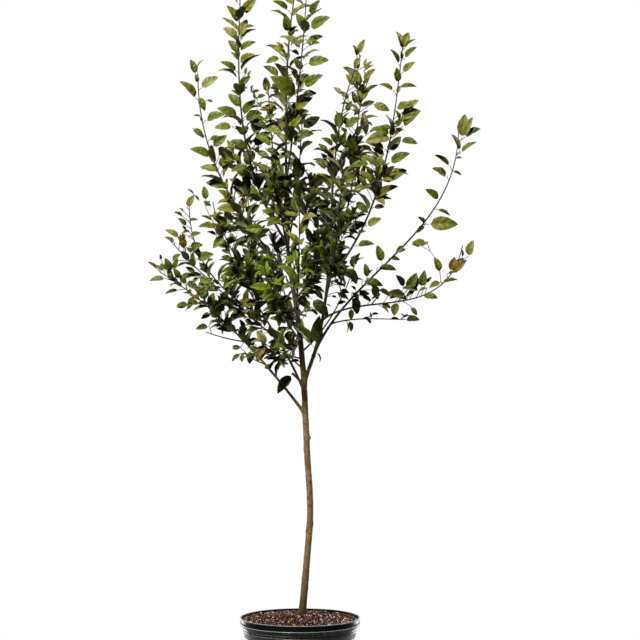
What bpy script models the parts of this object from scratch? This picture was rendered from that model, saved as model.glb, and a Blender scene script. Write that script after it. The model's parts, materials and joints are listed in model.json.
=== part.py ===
"""A young apple tree in a black nursery pot.

The pot is filled with bark-covered soil. A slim trunk stands on it, with one bough for each main limb,
and each bough carries one mass of twigs and leaves that keeps to its own space in the crown.
Lengths are in metres, +Z is up, and the origin is the middle of the pot's flat underside.
"""

import math
import random
from collections import namedtuple

import bmesh
import bpy
import numpy as np
from mathutils import Quaternion, Vector
from mathutils.bvhtree import BVHTree

# Pot
POT_HEIGHT = 0.300
POT_SEGMENTS = 36
POT_WALL = 0.0032
POT_FLOOR = 0.004
BASE_RADIUS = 0.140
RIM_RADIUS = 0.179
RIM_HEIGHT = 0.022
COLLAR_TOP_RADIUS = 0.172
COLLAR_LOW_RADIUS = 0.165
COLLAR_HEIGHT = 0.034
STEP_HEIGHT = 0.003
WALL_TOP_RADIUS = 0.162
RIM_DRAFT = 0.001
DRAIN_HOLES = 6
DRAIN_RADIUS = 0.007
DRAIN_CENTRE_HEIGHT = 0.016
DRAIN_CUTTER_REACH = 0.020
DRAIN_SIDES = 8

# Soil
SOIL_EDGE_DROP = 0.008
SOIL_MOUND_RISE = 0.003
SOIL_MOUND_RADIUS = 0.042
SOIL_SHOULDER_RADIUS = 0.115
SOIL_SHOULDER_DROP = 0.006

# Clearance between pieces that touch on the real tree
SEAT = 0.0003

# Trunk and leader: height, sideways and depth place of the axis, and radius
Station = namedtuple("Station", "height x y radius")
GROUND = POT_HEIGHT + SOIL_MOUND_RISE + SEAT
TRUNK_LINE = (
    Station(GROUND, 0.0060, 0.020, 0.0138),
    Station(0.325, 0.0080, 0.020, 0.0115),
    Station(0.470, 0.0205, 0.014, 0.0100),
    Station(0.620, 0.0305, 0.006, 0.0095),
    Station(0.800, 0.0210, 0.000, 0.0094),
    Station(1.010, 0.0114, 0.000, 0.0086),
    Station(1.190, -0.0054, 0.000, 0.0072),
    Station(1.390, -0.0350, 0.004, 0.0055),
    Station(1.700, -0.0420, 0.000, 0.0036),
    Station(2.000, -0.0350, -0.006, 0.0024),
    Station(2.265, -0.0030, 0.000, 0.0013),
)
TRUNK_TOP = 1.700
TRUNK_SIDES = 8
TRUNK_STEP = 0.085
LEADER_TWIG = 0.09
KNOB_HEIGHT = 0.838
KNOB_RADIUS = 0.0062
KNOB_OFFSET = (0.0075, -0.003, 0)

# Limbs. Each is one smooth bend from its parent at `start` height to the tip of its furthest leaf. `low` and
# `high` say how far it sags below the straight line at a third and two thirds of the way, `radius` is its foot,
# `bare` the share of its length without leaves, and `twig` the length of its longest side twig.
Limb = namedtuple("Limb", "name parent start tip low high radius bare twig")
LIMBS = (
    Limb("right_inner", "trunk", 1.007, (0.190, -0.060, 2.025), 0.017, -0.023, 0.0060, 0.31, 0.12),
    Limb("right_outer", "right_inner", 1.080, (0.504, 0.060, 1.822), 0.018, 0.072, 0.0042, 0.20, 0.07),
    Limb("right_low", "right_inner", 1.192, (0.525, -0.080, 1.435), 0.032, 0.078, 0.0034, 0.16, 0.08),
    Limb("right_level", "right_outer", 1.180, (0.362, 0.140, 1.195), -0.009, -0.006, 0.0024, 0.22, 0.05),
    Limb("right_upper", "right_inner", 1.307, (0.321, -0.060, 2.055), 0.058, 0.045, 0.0040, 0.12, 0.12),
    Limb("right_middle", "right_inner", 1.413, (0.222, 0.060, 1.975), 0.028, 0.000, 0.0034, 0.22, 0.11),
    Limb("top_right", "trunk", 1.600, (0.027, -0.090, 2.228), 0.009, 0.010, 0.0034, 0.10, 0.10),
    Limb("top_left", "trunk", 1.420, (-0.183, -0.060, 2.252), 0.074, 0.058, 0.0042, 0.12, 0.11),
    Limb("left_upper", "trunk", 1.323, (-0.332, 0.100, 1.985), 0.059, 0.067, 0.0040, 0.16, 0.11),
    Limb("left_middle", "trunk", 0.972, (-0.290, 0.150, 1.597), 0.006, 0.024, 0.0042, 0.40, 0.10),
    Limb("left_riser", "left_middle", 1.262, (-0.163, 0.150, 1.620), 0.005, 0.010, 0.0026, 0.14, 0.08),
    Limb("left_front", "left_middle", 1.195, (-0.350, -0.110, 1.585), 0.060, 0.070, 0.0030, 0.20, 0.09),
    Limb("left_far", "left_middle", 1.130, (-0.405, -0.210, 1.450), 0.007, 0.009, 0.0030, 0.20, 0.09),
    Limb("left_low", "trunk", 0.908, (-0.458, 0.020, 1.370), -0.024, -0.028, 0.0050, 0.44, 0.09),
    Limb("left_level", "left_low", 1.126, (-0.312, -0.130, 1.165), 0.003, 0.003, 0.0024, 0.16, 0.06),
    Limb("left_spur", "left_low", 1.060, (-0.190, -0.110, 1.110), 0.004, 0.004, 0.0022, 0.16, 0.05),
    Limb("front_spur", "trunk", 1.075, (-0.130, -0.190, 1.135), 0.006, 0.006, 0.0026, 0.20, 0.07),
    Limb("back_spur", "trunk", 1.045, (-0.100, 0.190, 1.160), 0.006, 0.006, 0.0026, 0.22, 0.07),
    Limb("front_low", "trunk", 1.130, (-0.110, -0.400, 1.370), 0.022, 0.022, 0.0036, 0.18, 0.09),
    Limb("front_middle", "trunk", 1.231, (0.005, -0.420, 1.540), 0.044, 0.044, 0.0036, 0.16, 0.10),
    Limb("front_high", "trunk", 1.401, (-0.094, -0.280, 1.920), 0.040, 0.040, 0.0034, 0.14, 0.10),
    Limb("front_right", "right_inner", 1.251, (0.130, -0.320, 1.680), 0.040, 0.040, 0.0034, 0.16, 0.10),
    Limb("front_left", "trunk", 1.175, (-0.250, -0.330, 1.500), 0.036, 0.036, 0.0034, 0.20, 0.09),
    Limb("back_low", "trunk", 1.146, (-0.080, 0.440, 1.400), 0.030, 0.030, 0.0036, 0.20, 0.10),
    Limb("back_right", "trunk", 1.251, (0.150, 0.380, 1.680), 0.044, 0.044, 0.0036, 0.16, 0.11),
    Limb("back_high", "trunk", 1.416, (0.010, 0.260, 1.900), 0.036, 0.036, 0.0034, 0.14, 0.10),
    Limb("back_left", "trunk", 1.210, (-0.230, 0.380, 1.600), 0.040, 0.040, 0.0036, 0.20, 0.11),
    Limb("back_right_low", "trunk", 1.095, (0.190, 0.370, 1.400), 0.030, 0.030, 0.0034, 0.22, 0.09),
)
TIP_INSET = 0.048
LIMB_SIDES = 5
CHILD_MARGIN = 0.020
LIMB_STEPS = 3
LIMB_TIP_RADIUS = 0.0013
LIMB_TAPER = 0.8
STUB_NEIGHBOUR = "left_middle"
STUB_HEIGHT = 0.997
STUB_WAY = (-0.68, -0.30, 0.67)
STUB_LENGTH = 0.052
STUB_RADIUS = 0.0040
STUB_TAPER = 0.85

# Twigs of a mass. The first and last say between which shares of the stem they stand.
SEED = 41
GOLDEN_ANGLE = math.radians(137.5)
TWIG_SIDES = 3
STEM_STEP = 0.110
STEM_LEAST_STEPS = 3
TWIG_GAP = 0.094
TWIG_FIRST = 0.05
TWIG_LAST = 0.77
TWIG_RADIUS = 0.0016
TWIG_TIP_RADIUS = 0.0010
TWIG_LEAVING = math.radians(48)
TWIG_AT_TIP = 0.5
TWIG_SHORTENING = (1.0, 0.7, 0.45)

# Leaves: lengths in metres, and the rest as shares of a leaf's own length or width
LEAF_GAP = 0.043
LEAF_START_ON_STEM = 0.030
LEAF_START_ON_TWIG = 0.018
LEAF_LENGTH = 0.098
LEAF_WIDTH = 0.048
LEAF_THICKNESS = 0.0014
LEAF_LEAVING = math.radians(56)
LEAF_LIFT = 0.10
LEAF_SKYWARD = 0.5
LEAF_JITTER = 0.16
LEAF_TRIES = 3
LEAF_TRY_TURN = math.radians(50)
LEAF_FOLD = 0.22
LEAF_ARCH = 0.02
LEAF_DROOP = 0.24
LEAF_WIDEST = 0.56
LEAF_KEEL = 0.34
TWIG_LEAF_SIZE = 0.92
YOUNG_LEAF_LOSS = 0.25
TUFT_LEAVES = 2
TUFT_LEAVING = math.radians(26)
TUFT_GAP = 0.008
TUFT_INSET = 0.003
TUFT_SIZE = 0.78

# Room between two masses, and between a mass and a limb
MASS_ROOM = 0.004
LIMB_ROOM = 0.003

# How finely lines are measured
LENGTH_STEPS = 40
HALVINGS = 20
STEM_SAMPLES = 14
WOOD_SAMPLES = 24
TWIG_SAMPLES = 4

UP = Vector((0, 0, 1))
SIDE_GUIDE = Vector((0.3, 1, 0.1))
SHARP_ANGLE = math.radians(40)
WELD = 1e-5


def clear_scene():
    for obj in list(bpy.data.objects):
        bpy.data.objects.remove(obj)


def paint(name, colour, roughness):
    material = bpy.data.materials.new(name)
    material.use_nodes = True
    shader = material.node_tree.nodes["Principled BSDF"]
    shader.inputs["Base Color"].default_value = (*colour, 1)
    shader.inputs["Roughness"].default_value = roughness
    shader.inputs["Metallic"].default_value = 0
    material.diffuse_color = (*colour, 1)
    return material


def object_from(bm, name, material, smooth=True):
    """A linked object from a bmesh, with its faces pointing out."""
    bmesh.ops.recalc_face_normals(bm, faces=bm.faces)
    mesh = bpy.data.meshes.new(name)
    bm.to_mesh(mesh)
    bm.free()
    if smooth:
        mesh.shade_smooth()
        mesh.set_sharp_from_angle(angle=SHARP_ANGLE)
    mesh.materials.append(material)
    obj = bpy.data.objects.new(name, mesh)
    bpy.context.scene.collection.objects.link(obj)
    return obj


def turned(name, profile, segments, material):
    """A closed shape turned about Z from a profile whose first and last points lie on the axis."""
    bm = bmesh.new()
    verts = [bm.verts.new((radius, 0, height)) for radius, height in profile]
    edges = [bm.edges.new(pair) for pair in zip(verts, verts[1:])]
    bmesh.ops.spin(
        bm, geom=verts + edges, cent=(0, 0, 0), axis=(0, 0, 1), angle=math.tau, steps=segments, use_merge=True
    )
    bmesh.ops.remove_doubles(bm, verts=bm.verts, dist=WELD)
    return object_from(bm, name, material)


def tube_bmesh(points, radii, sides):
    """A closed tube round a line of points, whose rings don't twist."""
    bm = bmesh.new()
    rings = []
    side = None
    for i, (point, radius) in enumerate(zip(points, radii)):
        ahead = points[min(i + 1, len(points) - 1)]
        behind = points[max(i - 1, 0)]
        along = (ahead - behind).normalized()
        side = along.orthogonal() if side is None else side - along * side.dot(along)
        side = side.normalized()
        turns = (Quaternion(along, math.tau * k / sides) for k in range(sides))
        rings.append([bm.verts.new(point + radius * (turn @ side)) for turn in turns])
    for low, high in zip(rings, rings[1:]):
        for k in range(sides):
            n = (k + 1) % sides
            bm.faces.new((low[k], low[n], high[n], high[k]))
    bm.faces.new(reversed(rings[0]))
    bm.faces.new(rings[-1])
    return bm


def leaf_bmesh(root, along, upper, length, width):
    """A thin folded blade of 8 faces that narrows to a point at its root, and its corners."""
    side = along.cross(upper).normalized()
    face = side.cross(along).normalized()
    middle = root + along * (LEAF_WIDEST * length)
    ridge = root + along * (LEAF_KEEL * length) + face * (LEAF_ARCH * length)
    tip = root + along * length - face * (LEAF_DROOP * length)
    fold = face * (LEAF_FOLD * width)
    corners = (
        root,
        tip,
        middle + side * (width / 2) + fold,
        middle - side * (width / 2) + fold,
        ridge + face * (LEAF_THICKNESS / 2),
        ridge - face * (LEAF_THICKNESS / 2),
    )
    bm = bmesh.new()
    start, end, left, right, over, under = (bm.verts.new(corner) for corner in corners)
    for keel in (over, under):
        for edge in (left, right):
            bm.faces.new((start, edge, keel))
            bm.faces.new((edge, end, keel))
    return bm, corners


def drop(obj):
    mesh = obj.data
    bpy.data.objects.remove(obj)
    bpy.data.meshes.remove(mesh)


def apply_boolean(obj, operation, others, solver):
    """Joins or cuts obj with the other objects in one Boolean, applies it and removes them."""
    group = bpy.data.collections.new("operands")
    for other in others:
        group.objects.link(other)
    modifier = obj.modifiers.new(operation.title(), "BOOLEAN")
    modifier.operation = operation
    modifier.operand_type = "COLLECTION"
    modifier.collection = group
    modifier.solver = solver
    graph = bpy.context.evaluated_depsgraph_get()
    mesh = bpy.data.meshes.new_from_object(obj.evaluated_get(graph))
    obj.modifiers.remove(modifier)
    old, obj.data = obj.data, mesh
    mesh.name = obj.name
    bpy.data.meshes.remove(old)
    for other in others:
        drop(other)
    bpy.data.collections.remove(group)
    return obj


def pot_profile(inset):
    """The pot's outer line from rim to base, moved in by `inset`."""
    rim_foot = POT_HEIGHT - RIM_HEIGHT
    collar_foot = rim_foot - STEP_HEIGHT - COLLAR_HEIGHT
    line = (
        (RIM_RADIUS, POT_HEIGHT),
        (RIM_RADIUS - RIM_DRAFT, rim_foot),
        (COLLAR_TOP_RADIUS, rim_foot - STEP_HEIGHT),
        (COLLAR_LOW_RADIUS, collar_foot),
        (WALL_TOP_RADIUS, collar_foot - STEP_HEIGHT),
        (BASE_RADIUS, 0),
    )
    return [(radius - inset, height) for radius, height in line]


def make_pot(material):
    outer = pot_profile(0)
    inner = pot_profile(POT_WALL)[:-1] + [(BASE_RADIUS - POT_WALL, POT_FLOOR)]
    pot = turned("pot", [(0, POT_FLOOR)] + inner[::-1] + outer + [(0, 0)], POT_SEGMENTS, material)
    cutters = []
    for k in range(DRAIN_HOLES):
        angle = math.tau * (k + 0.5) / DRAIN_HOLES
        outward = Vector((math.cos(angle), math.sin(angle), 0))
        centre = outward * BASE_RADIUS + UP * DRAIN_CENTRE_HEIGHT
        reach = outward * DRAIN_CUTTER_REACH
        hole = tube_bmesh([centre - reach, centre + reach], [DRAIN_RADIUS] * 2, DRAIN_SIDES)
        cutters.append(object_from(hole, f"drain_cutter_{k}", material))
    return apply_boolean(pot, "DIFFERENCE", cutters, "EXACT")


def make_soil(material):
    """The root ball: it fills the pot and rises in a low mound round the trunk."""
    edge = POT_HEIGHT - SOIL_EDGE_DROP
    sides = [(radius - SEAT, height) for radius, height in pot_profile(POT_WALL)[1:-1]]
    foot = POT_FLOOR + SEAT
    profile = (
        [(0, POT_HEIGHT + SOIL_MOUND_RISE), (SOIL_MOUND_RADIUS, POT_HEIGHT + SOIL_MOUND_RISE)]
        + [(SOIL_SHOULDER_RADIUS, POT_HEIGHT - SOIL_SHOULDER_DROP), (sides[0][0], edge)]
        + sides
        + [(BASE_RADIUS - POT_WALL - SEAT, foot), (0, foot)]
    )
    return turned("soil", profile, POT_SEGMENTS, material)


def trunk_at(height):
    """Axis point and radius of the trunk and leader at a height, on a smooth curve through TRUNK_LINE."""
    rows = TRUNK_LINE
    i = max(n for n in range(len(rows) - 1) if rows[n].height <= height or n == 0)
    before, start, end, after = (rows[min(max(i + k, 0), len(rows) - 1)] for k in (-1, 0, 1, 2))
    span = end.height - start.height
    t = (height - start.height) / span

    def curve(field):
        a, b, c, d = (getattr(row, field) for row in (before, start, end, after))
        first = (c - a) / max(end.height - before.height, span) * span
        last = (d - b) / max(after.height - start.height, span) * span
        return (
            (2 * t**3 - 3 * t**2 + 1) * b
            + (t**3 - 2 * t**2 + t) * first
            + (3 * t**2 - 2 * t**3) * c
            + (t**3 - t**2) * last
        )

    return Vector((curve("x"), curve("y"), height)), start.radius + (end.radius - start.radius) * t


def shares(first, last, steps):
    return [first + (last - first) * k / steps for k in range(steps + 1)]


def line_length(points):
    return sum((b - a).length for a, b in zip(points, points[1:]))


def place_on(points, reach):
    """The point at a distance along a line of points, and the way the line runs there."""
    for start, end in zip(points, points[1:]):
        length = (end - start).length
        if reach <= length or end is points[-1]:
            along = (end - start) / length
            return start + along * min(reach, length), along
        reach -= length


class Axis:
    """The line and radius of a limb, by share of its length."""

    def __init__(self, name, place, radius, bare, twig):
        self.name = name
        self.place = place
        self.radius = radius
        self.bare = bare
        self.twig = twig
        self.length = line_length([place(share) for share in shares(0, 1, LENGTH_STEPS)])

    def stations(self, first, last, steps):
        cuts = shares(first, last, steps)
        return [self.place(cut) for cut in cuts], [self.radius(cut) for cut in cuts]

    def share_at(self, height):
        """The share at which the line passes a height, by halving."""
        low, high = 0.0, 1.0
        for _ in range(HALVINGS):
            middle = (low + high) / 2
            if self.place(middle).z < height:
                low = middle
            else:
                high = middle
        return low


def trunk_axis():
    top = TRUNK_LINE[-1].height
    return Axis(
        "trunk",
        lambda share: trunk_at(GROUND + share * (top - GROUND))[0],
        lambda share: trunk_at(GROUND + share * (top - GROUND))[1],
        (TRUNK_TOP - GROUND) / (top - GROUND),
        LEADER_TWIG,
    )


def limb_axis(limb, parent):
    """A cubic curve that passes at its named sags below the straight line from foot to tip."""
    foot = parent.place(parent.share_at(limb.start))
    leaf_tip = Vector(limb.tip)
    chord = leaf_tip - foot - (leaf_tip - foot).normalized() * TIP_INSET
    down = (chord * (UP.dot(chord) / chord.length_squared) - UP).normalized()
    first = foot + chord / 3 + down * (3 * limb.low - 1.5 * limb.high)
    second = foot + chord * (2 / 3) + down * (3 * limb.high - 1.5 * limb.low)
    tip = foot + chord

    def place(share):
        rest = 1 - share
        return foot * rest**3 + first * (3 * share * rest**2) + second * (3 * share**2 * rest) + tip * share**3

    def radius(share):
        return limb.radius + (LIMB_TIP_RADIUS - limb.radius) * share**LIMB_TAPER

    return Axis(limb.name, place, radius, limb.bare, limb.twig)


def all_axes():
    """The axes of the trunk and limbs. A parent stays bare to just past its last child."""
    axes = {"trunk": trunk_axis()}
    for limb in LIMBS:
        parent = axes[limb.parent]
        axes[limb.name] = limb_axis(limb, parent)
        parent.bare = max(parent.bare, parent.share_at(limb.start) + CHILD_MARGIN / parent.length)
    return axes


def limb_bmesh(axis, grown=0):
    """The trunk, or the bough of a limb up to its mass, made larger all round by `grown`."""
    if axis.name == "trunk":
        sides = TRUNK_SIDES
        flare_top = TRUNK_LINE[1].height
        steps = round((TRUNK_TOP - flare_top) / TRUNK_STEP)
        heights = [GROUND] + [flare_top + (TRUNK_TOP - flare_top) * k / steps for k in range(steps + 1)]
        points, radii = zip(*(trunk_at(height) for height in heights))
    else:
        sides = LIMB_SIDES
        points, radii = axis.stations(0, axis.bare, LIMB_STEPS)
    return tube_bmesh(points, [radius + grown / math.cos(math.pi / sides) for radius in radii], sides)


def make_trunk(axis, bark):
    trunk = object_from(limb_bmesh(axis), "trunk", bark)
    level_cut(trunk, GROUND)
    centre, _ = trunk_at(KNOB_HEIGHT)
    knob = bmesh.new()
    bmesh.ops.create_icosphere(knob, subdivisions=1, radius=KNOB_RADIUS)
    bmesh.ops.translate(knob, verts=knob.verts, vec=centre + Vector(KNOB_OFFSET))
    growths = [object_from(knob, "knob", bark), pruned_stub(0, bark)]
    return apply_boolean(trunk, "UNION", growths, "EXACT")


def pruned_stub(grown, bark):
    """The cut-back shoot beside the fork, made larger all round by `grown`."""
    foot, _ = trunk_at(STUB_HEIGHT)
    end = foot + Vector(STUB_WAY).normalized() * (STUB_LENGTH + grown)
    radii = [STUB_RADIUS + grown, STUB_RADIUS * STUB_TAPER + grown]
    return object_from(tube_bmesh([foot, end], radii, LIMB_SIDES), "stub", bark)


def level_cut(obj, height):
    """Sets the lowest ring of a tube level, so that its foot is flat on the ground."""
    for vertex in obj.data.vertices[:TRUNK_SIDES]:
        vertex.co.z = height


def make_bough(axis, parent, bark):
    """One tapering limb from its seat on its parent to the place where its mass begins."""
    bough = object_from(limb_bmesh(axis), f"bough_{axis.name}", bark)
    cutters = [object_from(limb_bmesh(parent, SEAT), "seat_cutter", bark)]
    if axis.name == STUB_NEIGHBOUR:
        cutters.append(pruned_stub(SEAT / math.cos(math.pi / LIMB_SIDES), bark))
    apply_boolean(bough, "DIFFERENCE", cutters, "EXACT")
    keep_upper_body(bough, axis.place(axis.bare))
    return bough


def keep_upper_body(obj, point):
    """Drops the scrap that a cut may leave on the far side of the parent, keeping the body next to the point."""
    bm = bmesh.new()
    bm.from_mesh(obj.data)
    nearest = min(bm.verts, key=lambda vertex: (vertex.co - point).length)
    kept, frontier = {nearest}, [nearest]
    while frontier:
        for edge in frontier.pop().link_edges:
            fresh = [vertex for vertex in edge.verts if vertex not in kept]
            kept.update(fresh)
            frontier.extend(fresh)
    bmesh.ops.delete(bm, geom=[vertex for vertex in bm.verts if vertex not in kept], context="VERTS")
    bm.to_mesh(obj.data)
    bm.free()


def distances(points, starts, ends):
    """The distance of each point to each straight stretch, as a table."""
    line = ends - starts
    reach = points[:, None, :] - starts
    share = (reach * line).sum(2) / (line * line).sum(1)
    return np.linalg.norm(reach - np.clip(share, 0, 1)[..., None] * line, axis=2)


class Crown:
    """Who owns which space: each mass keeps nearer to its own stem than to any other."""

    def __init__(self, axes):
        self.stems = {}
        wood = []
        for name, axis in axes.items():
            leafy, _ = axis.stations(axis.bare, 1, STEM_SAMPLES)
            self.stems[name] = np.array(leafy)
            bare, radii = axis.stations(0, axis.bare, WOOD_SAMPLES)
            wood += zip(bare, bare[1:], radii)
        self.wood_start, self.wood_end, self.wood_radius = (np.array(column) for column in zip(*wood))

    def holds(self, name, places):
        """True if every place lies in the space of the named mass and clear of every bare limb."""
        points = np.array([place[:] for place in places])
        own = distances(points, self.stems[name][:-1], self.stems[name][1:]).min(1)
        starts = np.concatenate([line[:-1] for other, line in self.stems.items() if other != name])
        ends = np.concatenate([line[1:] for other, line in self.stems.items() if other != name])
        others = distances(points, starts, ends).min(1)
        if (own + MASS_ROOM > others).any():
            return False
        wood = distances(points, self.wood_start, self.wood_end) - self.wood_radius
        return bool((wood > LIMB_ROOM).all())


def leaf_samples(corners):
    """The corners of a leaf away from its root, with points between them, to test its space."""
    root, tip, left, right, over, under = corners
    middles = [(a + b) / 2 for a, b in ((tip, left), (tip, right), (root, left), (root, right))]
    return [tip, left, right, over, under, *middles, over.lerp(tip, 1 / 3), over.lerp(tip, 2 / 3)]


def around(along, angle):
    """A direction square to `along`, at an angle about it counted from a fixed side."""
    side = along.cross(SIDE_GUIDE).normalized()
    return Quaternion(along, angle) @ side


def leaf_ways(along, angle, leaving):
    """The direction of a leaf that leaves a stem, and its upper side."""
    outward = around(along, angle)
    way = along * math.cos(leaving) + outward * math.sin(leaving)
    upper = along * math.sin(leaving) - outward * math.cos(leaving)
    return (way + UP * LEAF_LIFT).normalized(), (upper + UP * LEAF_SKYWARD).normalized()


def add_leaf(mass, root, along, angle, leaving, size):
    """A leaf at a place on a stem. One that has no room is tried again a little further round."""
    length = LEAF_LENGTH * size
    for attempt in range(LEAF_TRIES):
        way, upper = leaf_ways(along, angle + attempt * LEAF_TRY_TURN, leaving)
        jitter = Vector([mass.rng.uniform(-LEAF_JITTER, LEAF_JITTER) for _ in range(3)])
        bm, corners = leaf_bmesh(root, (way + jitter).normalized(), upper, length, LEAF_WIDTH * size)
        if mass.has_room(bm, leaf_samples(corners)) and mass.crosses_no_leaf(bm):
            mass.leaves.append(bm)
            return
        bm.free()


def add_leaves_along(mass, points, first, size):
    """Leaves at even gaps along a line of points, each turned on by the golden angle, with a tuft at its tip."""
    count = int((line_length(points) - first) / LEAF_GAP)
    for k in range(count):
        root, along = place_on(points, first + LEAF_GAP * (k + mass.rng.uniform(0.1, 0.5)))
        mass.turn += GOLDEN_ANGLE
        young = 1 - YOUNG_LEAF_LOSS * k / count
        add_leaf(mass, root, along, mass.turn, LEAF_LEAVING, size * young * mass.rng.uniform(0.85, 1.1))
    for k in range(TUFT_LEAVES):
        root, along = place_on(points, line_length(points) - TUFT_INSET - TUFT_GAP * k)
        mass.turn += math.tau / TUFT_LEAVES
        add_leaf(mass, root, along, mass.turn, TUFT_LEAVING, size * TUFT_SIZE)


def add_twig(mass, stem, share):
    """The longest side twig that keeps to the mass's space, with its leaves."""
    start, along = place_on(stem, share * line_length(stem))
    mass.turn += GOLDEN_ANGLE
    way = along * math.cos(TWIG_LEAVING) + around(along, mass.turn) * math.sin(TWIG_LEAVING)
    wanted = mass.axis.twig * (1 - (1 - TWIG_AT_TIP) * share) * mass.rng.uniform(0.85, 1.15)
    for shortening in TWIG_SHORTENING:
        end = start + way * wanted * shortening
        bm = tube_bmesh([start, end], [TWIG_RADIUS, TWIG_TIP_RADIUS], TWIG_SIDES)
        tested = [start.lerp(end, cut) for cut in shares(0, 1, TWIG_SAMPLES)[1:]]
        if mass.has_room(bm, tested):
            mass.twigs.append(bm)
            add_leaves_along(mass, [start, end], LEAF_START_ON_TWIG, TWIG_LEAF_SIZE)
            return
        bm.free()


class Mass:
    """The growing state of one mass: its axis, its seeded dice and the shapes it has so far."""

    def __init__(self, axis, crown, number, taken):
        self.axis = axis
        self.crown = crown
        self.taken = taken
        self.rng = random.Random(SEED + number)
        self.turn = self.rng.uniform(0, math.tau)
        self.twigs = []
        self.leaves = []
        self.leaf_trees = []

    def has_room(self, bm, tested):
        """True if a shape stays in the mass's space and crosses no limb and no other mass."""
        if not self.crown.holds(self.axis.name, tested):
            return False
        return not BVHTree.FromBMesh(bm).overlap(self.taken)

    def crosses_no_leaf(self, bm):
        tree = BVHTree.FromBMesh(bm)
        if any(tree.overlap(other) for other in self.leaf_trees):
            return False
        self.leaf_trees.append(tree)
        return True


def tree_of(objects):
    """One search tree of the faces of several objects."""
    points, faces = [], []
    for obj in objects:
        first = len(points)
        points += [vertex.co.copy() for vertex in obj.data.vertices]
        faces += [[first + index for index in polygon.vertices] for polygon in obj.data.polygons]
    return BVHTree.FromPolygons(points, faces)


def stem_points(axis):
    """The line and radii of a mass's stem, from 0.3 mm past its bough's tip to its own."""
    steps = max(STEM_LEAST_STEPS, round(axis.length * (1 - axis.bare) / STEM_STEP))
    points, radii = axis.stations(axis.bare, 1, steps)
    points[0] = points[0] + (points[1] - points[0]).normalized() * SEAT
    return points, radii


def make_stem(axis, leaf_green):
    name = "mass_leader" if axis.name == "trunk" else f"mass_{axis.name}"
    return object_from(tube_bmesh(*stem_points(axis), TWIG_SIDES), name, leaf_green, smooth=False)


def grow_mass(stem, axis, crown, number, others, leaf_green):
    """Twigs and leaves fused on a stem, where they stay in the mass's space and touch nothing else."""
    mass = Mass(axis, crown, number, tree_of(others))
    points, _ = stem_points(axis)
    twigs = int(line_length(points) / TWIG_GAP)
    for k in range(twigs):
        share = TWIG_FIRST + (TWIG_LAST - TWIG_FIRST) * (k + mass.rng.uniform(0, 0.6)) / twigs
        add_twig(mass, points, share)
    add_leaves_along(mass, points, LEAF_START_ON_STEM, 1)
    shapes = mass.twigs + mass.leaves
    pieces = [object_from(bm, "mass_piece", leaf_green, smooth=False) for bm in shapes]
    apply_boolean(stem, "UNION", pieces, "MANIFOLD")


def main():
    clear_scene()
    bark = paint("bark", (0.19, 0.13, 0.07), 0.8)
    leaf_green = paint("leaf green", (0.11, 0.13, 0.035), 0.5)
    black_plastic = paint("black plastic", (0.012, 0.013, 0.015), 0.45)
    bark_mulch = paint("bark mulch", (0.11, 0.07, 0.055), 0.9)
    make_pot(black_plastic)
    make_soil(bark_mulch)
    axes = all_axes()
    limbs = [make_trunk(axes["trunk"], bark)]
    limbs += [make_bough(axes[limb.name], axes[limb.parent], bark) for limb in LIMBS]
    crown = Crown(axes)
    stems = [make_stem(axis, leaf_green) for axis in axes.values()]
    for number, (stem, axis) in enumerate(zip(stems, axes.values())):
        others = limbs + [other for other in stems if other != stem]
        grow_mass(stem, axis, crown, number, others, leaf_green)


main()
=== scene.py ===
"""A young apple tree in a black nursery pot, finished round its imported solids.

Every size is in metres in the frame of the solids: +Z is up, and the origin is the middle of the pot's
underside. The crown grows by the same rule and from the same named limbs as the solids, carried on to finer
twigs.
"""

import functools
import json
import math
import random
from collections import namedtuple

import bmesh
import bpy
import numpy as np
from bpy.props import FloatProperty, FloatVectorProperty, IntProperty, PointerProperty
from mathutils import Matrix, Quaternion, Vector, noise

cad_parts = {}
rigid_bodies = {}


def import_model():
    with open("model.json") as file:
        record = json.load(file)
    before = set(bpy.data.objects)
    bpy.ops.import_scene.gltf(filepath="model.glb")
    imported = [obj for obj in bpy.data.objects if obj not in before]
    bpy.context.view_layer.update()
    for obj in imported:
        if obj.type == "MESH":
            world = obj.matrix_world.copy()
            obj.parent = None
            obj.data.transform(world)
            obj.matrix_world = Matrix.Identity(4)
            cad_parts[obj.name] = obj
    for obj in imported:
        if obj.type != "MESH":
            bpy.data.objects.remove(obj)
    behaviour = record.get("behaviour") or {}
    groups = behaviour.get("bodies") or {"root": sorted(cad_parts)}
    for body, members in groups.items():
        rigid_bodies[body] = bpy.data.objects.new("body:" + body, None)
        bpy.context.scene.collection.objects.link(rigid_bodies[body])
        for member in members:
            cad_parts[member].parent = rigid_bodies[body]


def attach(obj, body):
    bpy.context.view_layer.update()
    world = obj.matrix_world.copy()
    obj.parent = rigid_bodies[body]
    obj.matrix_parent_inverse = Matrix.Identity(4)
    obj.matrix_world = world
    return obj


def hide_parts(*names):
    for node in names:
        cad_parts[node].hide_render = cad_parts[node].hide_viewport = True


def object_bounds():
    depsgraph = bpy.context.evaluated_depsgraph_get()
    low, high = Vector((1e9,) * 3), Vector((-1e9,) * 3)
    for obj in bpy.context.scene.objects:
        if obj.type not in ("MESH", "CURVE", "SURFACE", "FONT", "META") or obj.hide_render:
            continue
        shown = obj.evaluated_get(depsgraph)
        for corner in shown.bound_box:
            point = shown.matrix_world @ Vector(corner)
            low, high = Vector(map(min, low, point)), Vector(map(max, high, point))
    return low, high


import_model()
SOLID_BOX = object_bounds()

bl_info = {
    "name": "Potted Apple Tree",
    "version": (1, 0, 0),
    "blender": (4, 5, 0),
    "location": "View3D > Sidebar > Apple Tree",
    "description": "Finishes a young apple tree in its nursery pot",
    "category": "Object",
}

UP = Vector((0, 0, 1))
BODY = "root"

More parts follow.
